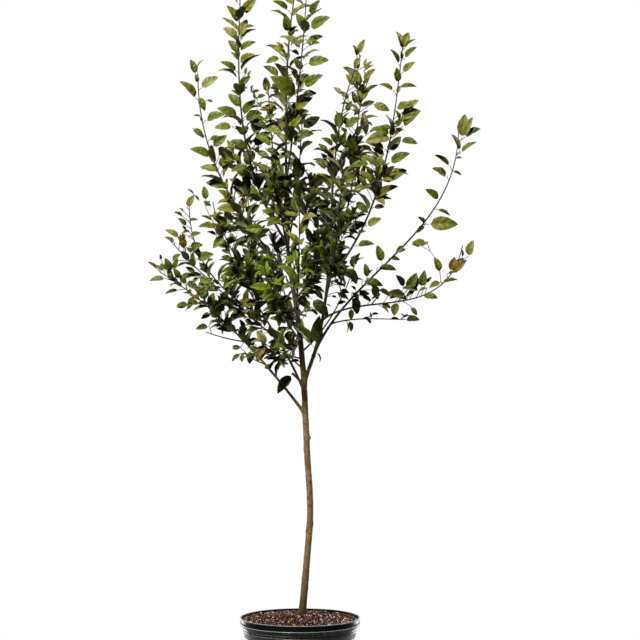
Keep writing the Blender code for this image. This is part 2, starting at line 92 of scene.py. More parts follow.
# Pot: radii and heights of the moulded wall, as in the solid
POT_HEIGHT = 0.300
POT_WALL = 0.0032
POT_FLOOR = 0.004
BASE_RADIUS = 0.140
RIM_RADIUS = 0.179
RIM_HEIGHT = 0.022
RIM_DRAFT = 0.001
COLLAR_TOP_RADIUS = 0.172
COLLAR_LOW_RADIUS = 0.165
COLLAR_HEIGHT = 0.034
STEP_HEIGHT = 0.003
WALL_TOP_RADIUS = 0.162
DRAIN_HOLES = 6
DRAIN_RADIUS = 0.007
DRAIN_CENTRE_HEIGHT = 0.016
DRAIN_CUTTER_REACH = 0.020
DRAIN_SEGMENTS = 24
POT_SEGMENTS = 144
POT_SHARP = math.radians(50)
EDGE_ROUND = 0.0010
EDGE_ROUND_STEPS = 3
EDGE_ROUND_MOST = 0.45
# What the mould adds beside each corner of the solid's wall, from the rim's top to the foot: how far out and
# how far up each point of the lip, the beads and the grooves stands from that corner
POT_RIBS = (
    ((0.0014, 0), (0.0016, -0.0024), (-0.0022, -0.0038), (-0.0018, -0.0054), (-0.0001, -0.0120)),
    ((0.0008, 0.0044), (0.0024, 0.0030), (0.0024, 0.0008), (-0.0006, -0.0008)),
    (
        (-0.0020, 0.0012), (0.0010, -0.0012), (0.0006, -0.0040), (-0.0038, -0.0054),
        (-0.0010, -0.0084), (-0.0008, -0.0120), (-0.0050, -0.0134), (-0.0026, -0.0160),
    ),
    ((0.0008, 0.0032), (0.0016, 0.0006)),
    ((-0.0024, 0.0010), (0.0003, -0.0034)),
    ((0, 0),),
)

# Soil and the bark chips on it
SOIL_EDGE_DROP = 0.008
SOIL_MOUND_RISE = 0.003
SOIL_MOUND_RADIUS = 0.042
SOIL_SHOULDER_RADIUS = 0.115
SOIL_SHOULDER_DROP = 0.006
SEAT = 0.0003
SOIL_SEGMENTS = 96
SOIL_RINGS = 46
SOIL_CRUMB = 0.0022
SOIL_CRUMB_SIZE = 0.009
SOIL_PILED = 0.001
# The open disc that the chips are strewn on
GROUND_RINGS = 12
GROUND_SEGMENTS = 48
STEM_ROOM = 0.0165
CHIP_MARGIN = 0.007
CHIP_LIFT = 0.0012
# Each colour of chip, and its share of the common number. The many dark chips are partly painted shade that
# stands in for the shadowed gaps between chips.
CHIP_KINDS = (("red", 0.80), ("brown", 0.80), ("grey", 0.36), ("dark", 1.90))
CHIP_SHAPES = 8
CHIP_SIZES = (0.35, 1.55)
CHIP_WIDTHS = (0.16, 0.34)
CHIP_THICKNESSES = (0.14, 0.28)
CHIP_TILT = math.radians(55)
SPLINTER_ENDS = ((0.1230, -0.086, 0.2965), (0.1356, -0.080, 0.3100))
SPLINTER_RADIUS = 0.0014

# Trunk and leader: height, sideways and depth place of the axis, and radius
Station = namedtuple("Station", "height x y radius")
GROUND = POT_HEIGHT + SOIL_MOUND_RISE + SEAT
TRUNK_LINE = (
    Station(GROUND, 0.0060, 0.020, 0.0138),
    Station(0.325, 0.0080, 0.020, 0.0115),
    Station(0.470, 0.0205, 0.014, 0.0100),
    Station(0.620, 0.0305, 0.006, 0.0095),
    Station(0.800, 0.0210, 0.000, 0.0094),
    Station(1.010, 0.0114, 0.000, 0.0086),
    Station(1.190, -0.0054, 0.000, 0.0072),
    Station(1.390, -0.0350, 0.004, 0.0055),
    Station(1.700, -0.0420, 0.000, 0.0036),
    Station(2.000, -0.0350, -0.006, 0.0024),
    Station(2.265, -0.0030, 0.000, 0.0013),
)
TRUNK_TOP = 1.700
LEADER_TWIG = 0.09

# Limbs. Each is one smooth bend from its parent at `start` height to the tip of its furthest leaf. `low` and
# `high` say how far it sags below the straight line at a third and two thirds of the way. `radius` is that of
# its foot, `bare` the share of its length without leaves, and `twig` the length of its longest side twig.
Limb = namedtuple("Limb", "name parent start tip low high radius bare twig")
LIMBS = (
    Limb("right_inner", "trunk", 1.007, (0.190, -0.060, 2.025), 0.017, -0.023, 0.0060, 0.31, 0.12),
    Limb("right_outer", "right_inner", 1.080, (0.504, 0.060, 1.822), 0.018, 0.072, 0.0042, 0.20, 0.07),
    Limb("right_low", "right_inner", 1.192, (0.525, -0.080, 1.435), 0.032, 0.078, 0.0034, 0.16, 0.08),
    Limb("right_level", "right_outer", 1.180, (0.362, 0.140, 1.195), -0.009, -0.006, 0.0024, 0.22, 0.05),
    Limb("right_upper", "right_inner", 1.307, (0.321, -0.060, 2.055), 0.058, 0.045, 0.0040, 0.12, 0.12),
    Limb("right_middle", "right_inner", 1.413, (0.222, 0.060, 1.975), 0.028, 0.000, 0.0034, 0.22, 0.11),
    Limb("top_right", "trunk", 1.600, (0.027, -0.090, 2.228), 0.009, 0.010, 0.0034, 0.10, 0.10),
    Limb("top_left", "trunk", 1.420, (-0.183, -0.060, 2.252), 0.074, 0.058, 0.0042, 0.12, 0.11),
    Limb("left_upper", "trunk", 1.323, (-0.332, 0.100, 1.985), 0.059, 0.067, 0.0040, 0.16, 0.11),
    Limb("left_middle", "trunk", 0.972, (-0.290, 0.150, 1.597), 0.006, 0.024, 0.0042, 0.40, 0.10),
    Limb("left_riser", "left_middle", 1.262, (-0.163, 0.150, 1.620), 0.005, 0.010, 0.0026, 0.14, 0.08),
    Limb("left_front", "left_middle", 1.195, (-0.350, -0.110, 1.585), 0.060, 0.070, 0.0030, 0.20, 0.09),
    Limb("left_far", "left_middle", 1.130, (-0.405, -0.210, 1.450), 0.007, 0.009, 0.0030, 0.20, 0.09),
    Limb("left_low", "trunk", 0.908, (-0.458, 0.020, 1.370), -0.024, -0.028, 0.0050, 0.44, 0.09),
    Limb("left_level", "left_low", 1.126, (-0.312, -0.130, 1.165), 0.003, 0.003, 0.0024, 0.16, 0.06),
    Limb("left_spur", "left_low", 1.060, (-0.190, -0.110, 1.110), 0.004, 0.004, 0.0022, 0.16, 0.05),
    Limb("front_spur", "trunk", 1.075, (-0.130, -0.190, 1.135), 0.006, 0.006, 0.0026, 0.20, 0.07),
    Limb("back_spur", "trunk", 1.045, (-0.100, 0.190, 1.160), 0.006, 0.006, 0.0026, 0.22, 0.07),
    Limb("front_low", "trunk", 1.130, (-0.110, -0.400, 1.370), 0.022, 0.022, 0.0036, 0.18, 0.09),
    Limb("front_middle", "trunk", 1.231, (0.005, -0.420, 1.540), 0.044, 0.044, 0.0036, 0.16, 0.10),
    Limb("front_high", "trunk", 1.401, (-0.094, -0.280, 1.920), 0.040, 0.040, 0.0034, 0.14, 0.10),
    Limb("front_right", "right_inner", 1.251, (0.130, -0.320, 1.680), 0.040, 0.040, 0.0034, 0.16, 0.10),
    Limb("front_left", "trunk", 1.175, (-0.250, -0.330, 1.500), 0.036, 0.036, 0.0034, 0.20, 0.09),
    Limb("back_low", "trunk", 1.146, (-0.080, 0.440, 1.400), 0.030, 0.030, 0.0036, 0.20, 0.10),
    Limb("back_right", "trunk", 1.251, (0.150, 0.380, 1.680), 0.044, 0.044, 0.0036, 0.16, 0.11),
    Limb("back_high", "trunk", 1.416, (0.010, 0.260, 1.900), 0.036, 0.036, 0.0034, 0.14, 0.10),
    Limb("back_left", "trunk", 1.210, (-0.230, 0.380, 1.600), 0.040, 0.040, 0.0036, 0.20, 0.11),
    Limb("back_right_low", "trunk", 1.095, (0.190, 0.370, 1.400), 0.030, 0.030, 0.0034, 0.22, 0.09),
)
TIP_INSET = 0.048
CHILD_MARGIN = 0.020
LIMB_TIP_RADIUS = 0.0013
LIMB_TAPER = 0.8
# The cut-back shoot beside the fork, and the dab of wax on a cut above it
STUB_HEIGHT = 0.997
STUB_WAY = Vector((-0.68, -0.30, 0.67)).normalized()
STUB_LENGTH = 0.052
STUB_RADIUS = 0.0040
STUB_TAPER = 0.85
STUB_RINGS = 12
STUB_SIDES = 14
WAX_HEIGHT = 1.044
WAX_REACH = (0.0032, 0.0026, 0.0046)
# Into how many parts a line is cut to measure it, to find a height on it and to keep clear of it
LENGTH_STEPS = 40
HALVINGS = 20
STEM_SAMPLES = 14
WOOD_SAMPLES = 24

# Bark relief: ridges along the wood, and pores across it, of which only the highest show
TRUNK_SIDES = 40
TRUNK_RING = 0.0028
BOUGH_SIDES = 10
BOUGH_RING = 0.005
RIDGE_WIDTH = 0.003
RIDGE_LENGTH = 0.014
PORE_WIDTH = 0.005
PORE_HEIGHT = 0.0021
PORE_RISE = 1.6
PORE_RARITY = 0.22
# How unevenly the trunk and the boughs swell, and over which length
TRUNK_WAVINESS = 0.05
TRUNK_WAVE = 0.045
BOUGH_WAVINESS = 0.07
BOUGH_WAVE = 0.03
BOUGH_RELIEF = 0.6
# The collar at a bough's foot, as shares of its radius
COLLAR_OUT = 0.55
COLLAR_REACH = 1.6
# The trunk's swelling under each bough: how far along the bough its way is taken, how far above the bough's
# foot the swelling lies, its spread along the trunk, its spread round it, and how far it stands out
FORK_REACH = 0.08
FORK_LIFT = 0.012
FORK_SPREAD = 0.010
FORK_SPREAD_SHARE = 2.2
FORK_ROUND = 0.9
FORK_OUT = 0.42
# A swelling has a height, an angle about the trunk from +X, how far it stands out, and its spread along and
# round the trunk
Swelling = namedtuple("Swelling", "height angle out along round")
TRUNK_SWELLINGS = (
    Swelling(0.838, -15, 0.0050, 0.0060, 0.60),
    Swelling(0.882, -95, 0.0009, 0.0016, 1.30),
    Swelling(0.957, -95, 0.0010, 0.0020, 1.40),
    Swelling(0.804, 180, 0.0016, 0.0070, 0.60),
    Swelling(0.579, 0, 0.0018, 0.0080, 0.60),
    Swelling(0.555, 185, 0.0016, 0.0080, 0.60),
    Swelling(0.715, -60, 0.0010, 0.0050, 0.50),
    Swelling(0.470, -110, 0.0010, 0.0060, 0.50),
    Swelling(0.385, 20, 0.0012, 0.0070, 0.60),
    Swelling(0.650, 95, 0.0014, 0.0070, 0.60),
    Swelling(0.500, 70, 0.0012, 0.0060, 0.50),
    Swelling(0.760, 130, 0.0013, 0.0060, 0.50),
)
SCAR_HEIGHTS = (0.8795, 0.9545)
# Past so many spreads from its middle a swelling no longer shows
SWELLING_END = 3
# The flares at the trunk's foot: the angle of each and how far it stands out
ROOT_FLARES = ((-150, 0.0014), (-60, 0.0022), (15, 0.0026), (80, 0.0024), (155, 0.0012))
FLARE_HEIGHT = 0.012
FLARE_END = 5
FLARE_ROUND = 0.42

# Twigs and spurs. Pairs of sizes are the least and the most, as shares of the common size.
SEED = 41
GOLDEN_ANGLE = math.radians(137.5)
STEM_STEP = 0.018
TWIG_GAP = 0.054
OLD_WOOD_LEAST = 0.3
TWIG_FIRST = 0.02
TWIG_RADIUS = 0.0017
TWIG_TIP_RADIUS = 0.0009
TWIG_LEAVING = math.radians(48)
TWIG_AT_TIP = 0.5
TWIG_SHORTENING = (1.0, 0.7, 0.45)
TWIG_RISE = 0.22
TWIG_SWAY = 0.16
TWIG_LENGTHS = (0.85, 1.15)
TWIG_PARTS = 5
FINE_TWIG_LEAST = 0.055
FINE_TWIG_SHARE = 0.45
FINE_TWIG_PLACES = (0.35, 0.65)
SPUR_GAP = 0.060
SPUR_LENGTH = 0.016
SPUR_LENGTHS = (0.5, 1.2)
SPUR_RADII = (0.0018, 0.0015, 0.0016)
SPUR_LEAVES = 3
SPUR_LEAVING = (35, 75)
SIDE_GUIDE = Vector((0.3, 1, 0.1))

# How a limb is clothed: the size of its leaves, the metres at its end that bear only single leaves, how
# thickly leaves and twigs stand on it, the share of its bare foot that stays bare here, and how much of the
# rest the seeded rule clothes
Habit = namedtuple("Habit", "size new_wood fullness bare seeded", defaults=(1.0, 1.0))
HABITS = {
    "trunk": Habit(1.0, 0.46, 0.75),
    "right_inner": Habit(1.0, 0.16, 0.9, 0.80, 0.65),
    "right_outer": Habit(1.0, 0.54, 0.72, 1.0, 0.0),
    "right_low": Habit(0.80, 0.18, 1.15, 0.8, 0.0),
    "right_level": Habit(0.75, 0.16, 1.0, 1.0, 0.0),
    "right_upper": Habit(1.0, 0.10, 0.5, 2.4, 0.50),
    "right_middle": Habit(1.0, 0.14, 0.7, 1.0, 0.80),
    "top_right": Habit(1.0, 0.40, 0.6),
    "top_left": Habit(1.0, 0.52, 0.85),
    "left_upper": Habit(0.95, 0.16, 1.1, 1.0, 0.55),
    "left_middle": Habit(0.80, 0.16, 0.9, 1.0, 0.7),
    "left_riser": Habit(0.80, 0.16, 0.85),
    "left_front": Habit(0.80, 0.12, 0.9, 0.5, 0.6),
    "left_far": Habit(0.75, 0.12, 0.9, 0.5, 0.75),
    "left_low": Habit(0.75, 0.12, 0.9, 0.8, 0.85),
    "left_level": Habit(0.75, 0.05, 1.3, 1.0, 0.0),
    "left_spur": Habit(0.80, 0.00, 1.8, 1.0, 0.0),
    "front_spur": Habit(0.75, 0.00, 1.0),
    "back_spur": Habit(0.85, 0.00, 0.7),
    "front_low": Habit(0.75, 0.08, 1.1),
    "front_left": Habit(0.75, 0.12, 1.05, 0.8),
    "front_middle": Habit(0.80, 0.20, 1.0),
    "front_high": Habit(0.86, 0.20, 1.1, 1.0, 0.78),
    "back_high": Habit(0.86, 0.24, 1.15),
    "back_low": Habit(0.80, 0.20, 0.8, 1.7),
    "back_right_low": Habit(0.75, 0.20, 0.75, 3.2),
}
COMMON_HABIT = Habit(0.82, 0.20, 1.1)

# Leaves: lengths in metres, and the rest as shares of a leaf's own length
LEAF_GAP = 0.024
TWIG_LEAF_GAP = 0.019
LEAF_START = 0.010
LEAF_LEAVING = math.radians(60)
LEAF_LIFT = 0.10
LEAF_SKYWARD = 0.50
LEAF_SUNWARD = 0.70
LEAF_ROLL = 0.40
SUNWARD = Vector((-0.35, -0.85, 0.40))
LEAF_JITTER = 0.16
LEAF_TRIES = 4
LEAF_TRY_TURN = math.radians(50)
LEAF_PLACES = (0.1, 0.5)
LEAF_SIZES = (0.80, 1.15)
# So many leaves along a stem share one tint
SPRAY_LEAVES = 5
TWIG_LEAF_SIZE = 0.84
SPUR_LEAF_SIZE = 0.62
SPUR_LEAF_SIZES = (0.7, 1.15)
YOUNG_LEAF_LOSS = 0.12
TUFT_LEAVES = 3
TUFT_LEAVING = math.radians(26)
TUFT_GAP = 0.006
TUFT_SIZE = 0.70
TUFT_SIZES = (0.8, 1.1)
SPACE_SHARED = 0.014
LEAF_WOOD_ROOM = 0.001
LEAF_APART = 0.010
BOX_ROOM = 0.004
# Where the photo shows sprays flushed with bronze, and how far round them the flush reaches
BRONZE_SPOTS = (
    Vector((0.480, -0.070, 1.365)),
    Vector((-0.340, 0.040, 1.440)),
    Vector((-0.430, 0.020, 1.350)),
)
BRONZE_REACH = 0.045

# A leaf shape: how far it bends over its length, how steeply its halves fold up, its twist, its width and the
# wave of its edge
Blade = namedtuple("Blade", "bend fold twist width wave")
BLADES = (
    Blade(54, 32, 6, 0.45, 0.010),
    Blade(72, 34, -10, 0.43, 0.014),
    Blade(42, 24, 12, 0.48, 0.008),
    Blade(88, 30, -6, 0.44, 0.018),
    Blade(60, 40, 16, 0.42, 0.012),
    Blade(18, 26, -14, 0.46, 0.014),
    Blade(64, 22, 8, 0.50, 0.020),
    Blade(46, 44, -4, 0.41, 0.008),
    Blade(36, 20, 8, 0.51, 0.014),
    Blade(50, 24, -10, 0.49, 0.018),
)
# The shapes that the seeded rule uses, and those of the leaves that show clear of the others
RULE_BLADES = 8
BROAD_BLADES = (8, 9, 6)
SLIM_BLADES = (0, 2, 6, 7)
BLADE_STEPS = 8
BLADE_THICKNESS = 0.0045
PETIOLE = 0.11
# A blade points this share of its bend above the level at its foot
BLADE_RISE = 0.38
# Where the points between rib and edge stand
BLADE_HALF = 0.52
RIB_RADIUS = 0.0095
RIB_TAPER = 0.72
RIB_END = 0.80
TOOTH = 0.03
QUILT = 0.006
SIDE_VEINS = 8.0
SIDE_VEIN_SLANT = 1.7
BUD_LENGTH = 0.0052
# How far a bud leans from its leaf's way to the leaf's upper side
BUD_LEANING = 0.9
# Which finish a face of a leaf or a bud takes
UPPER_SIDE, UNDERSIDE, STALK = 0, 1, 2

# The camera stands level, where the photographer's did
CAMERA_PLACE = (0.06, -5.85, 1.191)
CAMERA_LENS = 109.7
SENSOR_WIDTH = 36.0
FLOOR_RADIUS = 1.4
# Round lamps. Two weak ones low behind the pot show its round sides.
Lamp = namedtuple("Lamp", "name setting place aim size")
LAMPS = (
    Lamp("key_light", "key", (-2.0, -3.3, 4.8), (0, 0, 1.2), 1.0),
    Lamp("back_light", "back", (2.6, 3.2, 3.4), (0, 0, 1.2), 2.0),
    Lamp("side_light_left", "side", (-1.0, 1.25, 0.6), (0, 0, 0.25), 1.0),
    Lamp("side_light_right", "side", (1.0, 1.25, 0.6), (0, 0, 0.25), 1.0),
)


def linear(colour):
    """The linear red, green and blue of an sRGB hex colour."""
    values = (int(colour[k : k + 2], 16) / 255 for k in (1, 3, 5))
    return tuple(v / 12.92 if v <= 0.04045 else ((v + 0.055) / 1.055) ** 2.4 for v in values)


# Leaf tints. Each is the common colour of the leaves of some sprays: name, upper side, underside, and its
# weights. They say how often it is dealt everywhere, and how much more so in the sun, in the crown's inner
# part, low in front and in a bronze flush. The lighter tints dealt in the sun are partly painted light, and
# the dark deep tint, dealt more in the crown's inner part, is partly painted shade.
Tint = namedtuple("Tint", "name upper under weights")
TINTS = (
    Tint("olive", "#535218", "#676633", (1.0, 3.4, 0, 0, 0)),
    Tint("sage", "#54532a", "#6b6942", (0.2, 2.2, 0, 0, 0)),
    Tint("green", "#41490f", "#575c24", (2.8, -1.2, 0, 0, 0)),
    Tint("deep", "#303808", "#434919", (2.6, -2.6, 2.5, 0, 0)),
    Tint("fresh", "#495709", "#5d6824", (0.02, 0, 0, 4.98, 0)),
    Tint("pale", "#605e30", "#74724c", (0.10, 0.5, 0, 0, 0)),
    Tint("bronze", "#4f3f10", "#625224", (0, 0, 0, 0, 9.0)),
)
# From which height and from how far right the crown stands in the sun, and over how far this grows; there
# lighter tints are painted light
SUNNY_HEIGHT = 1.30
SUNNY_RISE = 0.65
SUNNY_SIDE = 0.12
SUNNY_REACH = 0.18
SUNNY_SIDE_SHARE = 0.85
# The crown's inner part, where the deep tint is painted shade, and the low leaves in front of it: middle,
# half width and top, seen from the front
INNER_MIDDLE, INNER_WIDTH, INNER_TOP = -0.02, 0.14, 1.65
LOW_MIDDLE, LOW_WIDTH, LOW_TOP = -0.065, 0.095, 1.37
LOW_DEPTH = -0.10


def float_property(label, about, value, low, high, unit="NONE"):
    return FloatProperty(name=label, description=about, default=value, min=low, max=high, unit=unit)


def colour_property(label, about, colour):
    return FloatVectorProperty(
        name=label, description=about, subtype="COLOR", size=3, min=0, max=1, default=linear(colour)
    )


class AppleTreePot(bpy.types.PropertyGroup):
    edge_round: float_property(
        "Edge rounding", "Radius of the moulded edges of the pot", EDGE_ROUND, 0.0002, 0.0014, "LENGTH"
    )
    plastic: colour_property("Plastic", "Colour of the moulded polyethylene", "#04070a")
    # The pale colour on the ledges is partly dust and partly a painted highlight where light from above
    # falls.
    dust_and_highlight: colour_property("Dust", "Colour of the dust on ledges", "#b3b0a6")


class AppleTreeSoil(bpy.types.PropertyGroup):
    chips_per_square_metre: float_property(
        "Chips", "Common number of chips of one colour on a square metre", 15000, 500, 30000
    )
    chip_length: float_property("Chip length", "Length of a common bark chip", 0.0082, 0.003, 0.03, "LENGTH")
    soil: colour_property("Soil", "Colour of the potting mix between the chips", "#0a0503")
    red_chip: colour_property("Red chips", "Inner bark, freshly broken", "#5a3a2e")
    brown_chip: colour_property("Brown chips", "Composted bark", "#4a3328")
    grey_chip: colour_property("Grey chips", "Weathered bark", "#ab968a")
    # Dark chips: damp bark, and partly painted shade for the shadowed gaps between chips.
    dark_chip: colour_property("Dark chips", "Damp bark", "#120804")


class AppleTreeWood(bpy.types.PropertyGroup):
    relief: float_property(
        "Bark relief", "Depth of the ridges in the trunk's bark", 0.00045, 0, 0.0015, "LENGTH"
    )
    bark: colour_property("Bark", "Young apple bark in the light", "#644f32")
    # The furrow colour is painted shade and the ridge colour is partly a painted highlight, both laid along
    # the ridge pattern; the ridge colour also gives the real pale lenticels.
    bark_shade: colour_property("Bark furrows", "Bark in its furrows", "#2b1d0f")
    bark_light: colour_property("Bark ridges", "Dry ridges and lenticels", "#978263")
    # The boughs' bark is their own darker skin, made darker still as painted shade of the crown.
    upper_bark: colour_property("Upper bark", "Darker bark of the boughs", "#30271d")
    shoot: colour_property("Shoots", "Bark of this year's shoots", "#35291e")


class AppleTreeLeaves(bpy.types.PropertyGroup):
    length: float_property("Leaf length", "Length of a full leaf with its stalk", 0.092, 0.04, 0.12, "LENGTH")
    stalk: colour_property("Leaf stalks", "Stalks and midribs", "#a3a56a")
    seed: IntProperty(name="Seed", description="Start of the dice that deal out the tints", default=7, min=0)


class AppleTreeStage(bpy.types.PropertyGroup):
    key: float_property("Main light", "Power of the large soft light", 780, 0, 5000, "POWER")
    back: float_property("Back light", "Power of the soft light behind the tree", 130, 0, 5000, "POWER")
    side: float_property("Side lights", "Power of each low light behind the pot", 17, 0, 100, "POWER")
    fill: float_property("Surround", "Strength of the white surround as a light", 0.38, 0, 5)
    floor: colour_property("Floor", "Plain pale floor", "#eeeeec")


# Nodes and materials


def add_node(tree, kind, inputs=(), output=0, **settings):
    """Adds a node, sets it, gives each input its value or the socket that feeds it, and returns an output.

    The inputs come in the node's own order, or by name or number.
    """
    made = tree.nodes.new(kind)
    for name, value in settings.items():
        setattr(made, name, value)
    for key, value in inputs.items() if isinstance(inputs, dict) else enumerate(inputs):
        socket = made.inputs[key]
        if isinstance(value, bpy.types.NodeSocket):
            tree.links.new(value, socket)
        else:
            socket.default_value = (*value, 1) if socket.type == "RGBA" else value
    return made.outputs[output] if made.outputs else None


def new_material(name):
    """A material without nodes, and a function that adds one to it."""
    made = bpy.data.materials.new(name)
    made.use_nodes = True
    made.node_tree.nodes.clear()
    return made, functools.partial(add_node, made.node_tree)


def close_material(node, colour, roughness, specular=0.5, normal=None, ior=1.5):
    """Ends a material in one shader with these looks."""
    inputs = {"Base Color": colour, "Roughness": roughness, "Specular IOR Level": specular, "IOR": ior}
    if normal is not None:
        inputs["Normal"] = normal
    node("ShaderNodeOutputMaterial", (node("ShaderNodeBsdfPrincipled", inputs),))


def shaded(colour, factor):
    return tuple(min(1.0, part * factor) for part in colour)


def object_place(node, scale=None):
    """Object coordinates in metres, stretched by `scale`."""
    place = node("ShaderNodeTexCoord", output="Object")
    return node("ShaderNodeMapping", {"Vector": place, "Scale": scale}) if scale else place


def layered(node, colour, *layers):
    """A colour with others laid over it in turn, each as far as its share says."""
    for share, other in layers:
        colour = node("ShaderNodeMix", {0: share, 6: colour, 7: other}, 2, data_type="RGBA")
    return colour


def leaf_colour(node, colour, blotch, shades, veins):
    """A leaf's colour, blotched between two shades of it, and the bulge of the blade between two side veins.

    `veins` says how far the side veins cover the colour, and which shade of it they have.
    """
    own_map = node("ShaderNodeUVMap", uv_map="blade")
    across = node("ShaderNodeSeparateXYZ", (own_map,))
    along = across.node.outputs["Y"]
    across = node("ShaderNodeMath", (across,), operation="ABSOLUTE")
    slant = node("ShaderNodeMath", (across, -SIDE_VEIN_SLANT), operation="MULTIPLY")
    phase = node("ShaderNodeMath", (along, SIDE_VEINS, slant), operation="MULTIPLY_ADD")
    share = node("ShaderNodeMath", (phase, 1.0), operation="PINGPONG")
    bulge = node("ShaderNodeMapRange", (share,), interpolation_type="SMOOTHERSTEP")
    vein = node("ShaderNodeMapRange", (share, 0.12, 0.02, 0, veins[0]))
    dark, light = (shaded(colour, shade) for shade in shades)
    return layered(node, dark, (blotch, light), (vein, shaded(colour, veins[1]))), bulge


def leaf_upper_material(name, colour):
    """Living apple leaf, upper side: its waxy skin gives a soft gloss over the quilting between veins."""
    made, node = new_material(name)
    inputs = {"Vector": object_place(node), "Scale": 1 / 0.014, "Detail": 4, "Roughness": 0.55}
    blotch = node("ShaderNodeMapRange", (node("ShaderNodeTexNoise", inputs), 0.32, 0.68))
    base, bulge = leaf_colour(node, colour, blotch, (0.62, 1.35), (0.3, 1.6))
    rough = node("ShaderNodeMapRange", (blotch, 0, 1, 0.38, 0.54))
    normal = node("ShaderNodeBump", {"Height": bulge, "Distance": 0.0016, "Strength": 0.55})
    close_material(node, base, rough, 0.19, normal, ior=1.42)
    return made


def leaf_under_material(name, colour):
    """Living apple leaf, underside: fine pale down makes it matte and lighter than the upper side."""
    made, node = new_material(name)
    place = object_place(node)
    inputs = {"Vector": place, "Scale": 1 / 0.012, "Detail": 4, "Roughness": 0.55}
    blotch = node("ShaderNodeMapRange", (node("ShaderNodeTexNoise", inputs), 0.30, 0.70))
    base, _ = leaf_colour(node, colour, blotch, (0.75, 1.12), (0.6, 1.5))
    # Down of 0.6 mm, drawn as 1.5 mm so that it shows
    inputs = {"Vector": place, "Scale": 1 / 0.0015, "Detail": 2, "Roughness": 0.55}
    inputs = {"Height": node("ShaderNodeTexNoise", inputs), "Distance": 0.0003, "Strength": 0.4}
    close_material(node, base, 0.75, 0.15, node("ShaderNodeBump", inputs), ior=1.40)
    return made


def stalk_material(colour):
    """Leaf stalk and midrib: smooth pale green skin, flushed red here and there where the sun reached it."""
    made, node = new_material("leaf stalk skin")
    inputs = {"Vector": object_place(node), "Scale": 1 / 0.05, "Detail": 2, "Roughness": 0.55}
    flush = node("ShaderNodeMapRange", (node("ShaderNodeTexNoise", inputs), 0.50, 0.75))
    close_material(node, layered(node, colour, (flush, linear("#8d5f48"))), 0.45, ior=1.42)
    return made


def bark_material(wood):
    """Young apple bark: thin dry cork, tan and ridged along the trunk, with pale lenticels across it. Painted
    shade darkens its furrows and a painted highlight lightens its ridges.

    It darkens to the grey-brown skin of the boughs above the fork, darker still with painted shade of the
    crown, and is olive near the soil, where a near-black band is painted shadow.
    """
    made, node = new_material("young apple bark")
    place = object_place(node)
    height = node("ShaderNodeSeparateXYZ", (place,), "Z")
    # Ridges 3 mm across and 14 mm long, stains of 45 mm, and patches 24 mm across and twice as long
    noises = (
        (object_place(node, (1, 1, 0.22)), 0.0032, 4, 0.6),
        (place, 0.045, 3, 0.55),
        (object_place(node, (1, 1, 0.5)), 0.024, 2, 0.55),
        (place, 0.012, 1, 0.55),
    )
    ridge, patch, rust, wobble = (
        node("ShaderNodeTexNoise", {"Vector": spot, "Scale": 1 / size, "Detail": detail, "Roughness": rough})
        for spot, size, detail, rough in noises
    )
    # Lenticels 4 mm across the trunk and 1.2 mm high
    cells = node("ShaderNodeTexVoronoi", {"Vector": object_place(node, (1, 1, 2.6)), "Scale": 105.0})
    lenticel = node("ShaderNodeMapRange", (cells, 0.10, 0.22, 1, 0))
    # The furrows darken with painted shade and the ridges lighten with a painted highlight, both following
    # the ridge relief
    base = layered(
        node, wood.bark_shade,
        (node("ShaderNodeMapRange", (ridge, 0.34, 0.52)), wood.bark),
        (node("ShaderNodeMapRange", (ridge, 0.54, 0.72)), wood.bark_light),
        (node("ShaderNodeMapRange", (patch, 0.46, 0.62, 0, 0.55)), linear("#5c5236")),
        (node("ShaderNodeMapRange", (rust, 0.52, 0.62, 0, 0.6)), linear("#5f3d2a")),
        (node("ShaderNodeMapRange", (height, 0.30, 0.56, 0.85, 0)), linear("#4a3f20")),
        # A near-black band just above the soil: painted shadow at the trunk's foot
        (node("ShaderNodeMapRange", (height, 0.310, 0.360, 0.9, 0)), linear("#1d1508")),
        (node("ShaderNodeMath", (lenticel, 0.75), operation="MULTIPLY"), wood.bark_light),
    )
    # Dark rings where early shoots were rubbed off
    level = node("ShaderNodeMath", (wobble, 0.003, height), operation="MULTIPLY_ADD")
    for scar in SCAR_HEIGHTS:
        ring = node("ShaderNodeMath", (level, scar + 0.0015, 0.0013), operation="COMPARE")
        ring = node("ShaderNodeMath", (ring, 0.8), operation="MULTIPLY")
        base = layered(node, base, (ring, linear("#2b2013")))
    # The cork thins above the fork and the darker skin of the boughs shows; its darkness is partly painted
    # shade of the crown
    lift = node("ShaderNodeMath", (patch, 0.12, height), operation="MULTIPLY_ADD")
    # The boughs' skin is darker in its furrows too: painted shade along the ridge relief
    skin = layered(
        node, shaded(wood.upper_bark, 0.55),
        (node("ShaderNodeMapRange", (ridge, 0.40, 0.64)), wood.upper_bark),
        (node("ShaderNodeMath", (lenticel, 0.4), operation="MULTIPLY"), linear("#716857")),
    )
    base = layered(node, base, (node("ShaderNodeMapRange", (lift, 1.06, 1.24)), skin))
    normal = node("ShaderNodeBump", {"Height": ridge, "Distance": 0.0010, "Strength": 0.6})
    inputs = {"Height": lenticel, "Distance": 0.0006, "Strength": 0.5, "Normal": normal}
    rough = node("ShaderNodeMapRange", (ridge, 0.3, 0.7, 0.68, 0.86))
    close_material(node, base, rough, 0.15, node("ShaderNodeBump", inputs))
    return made


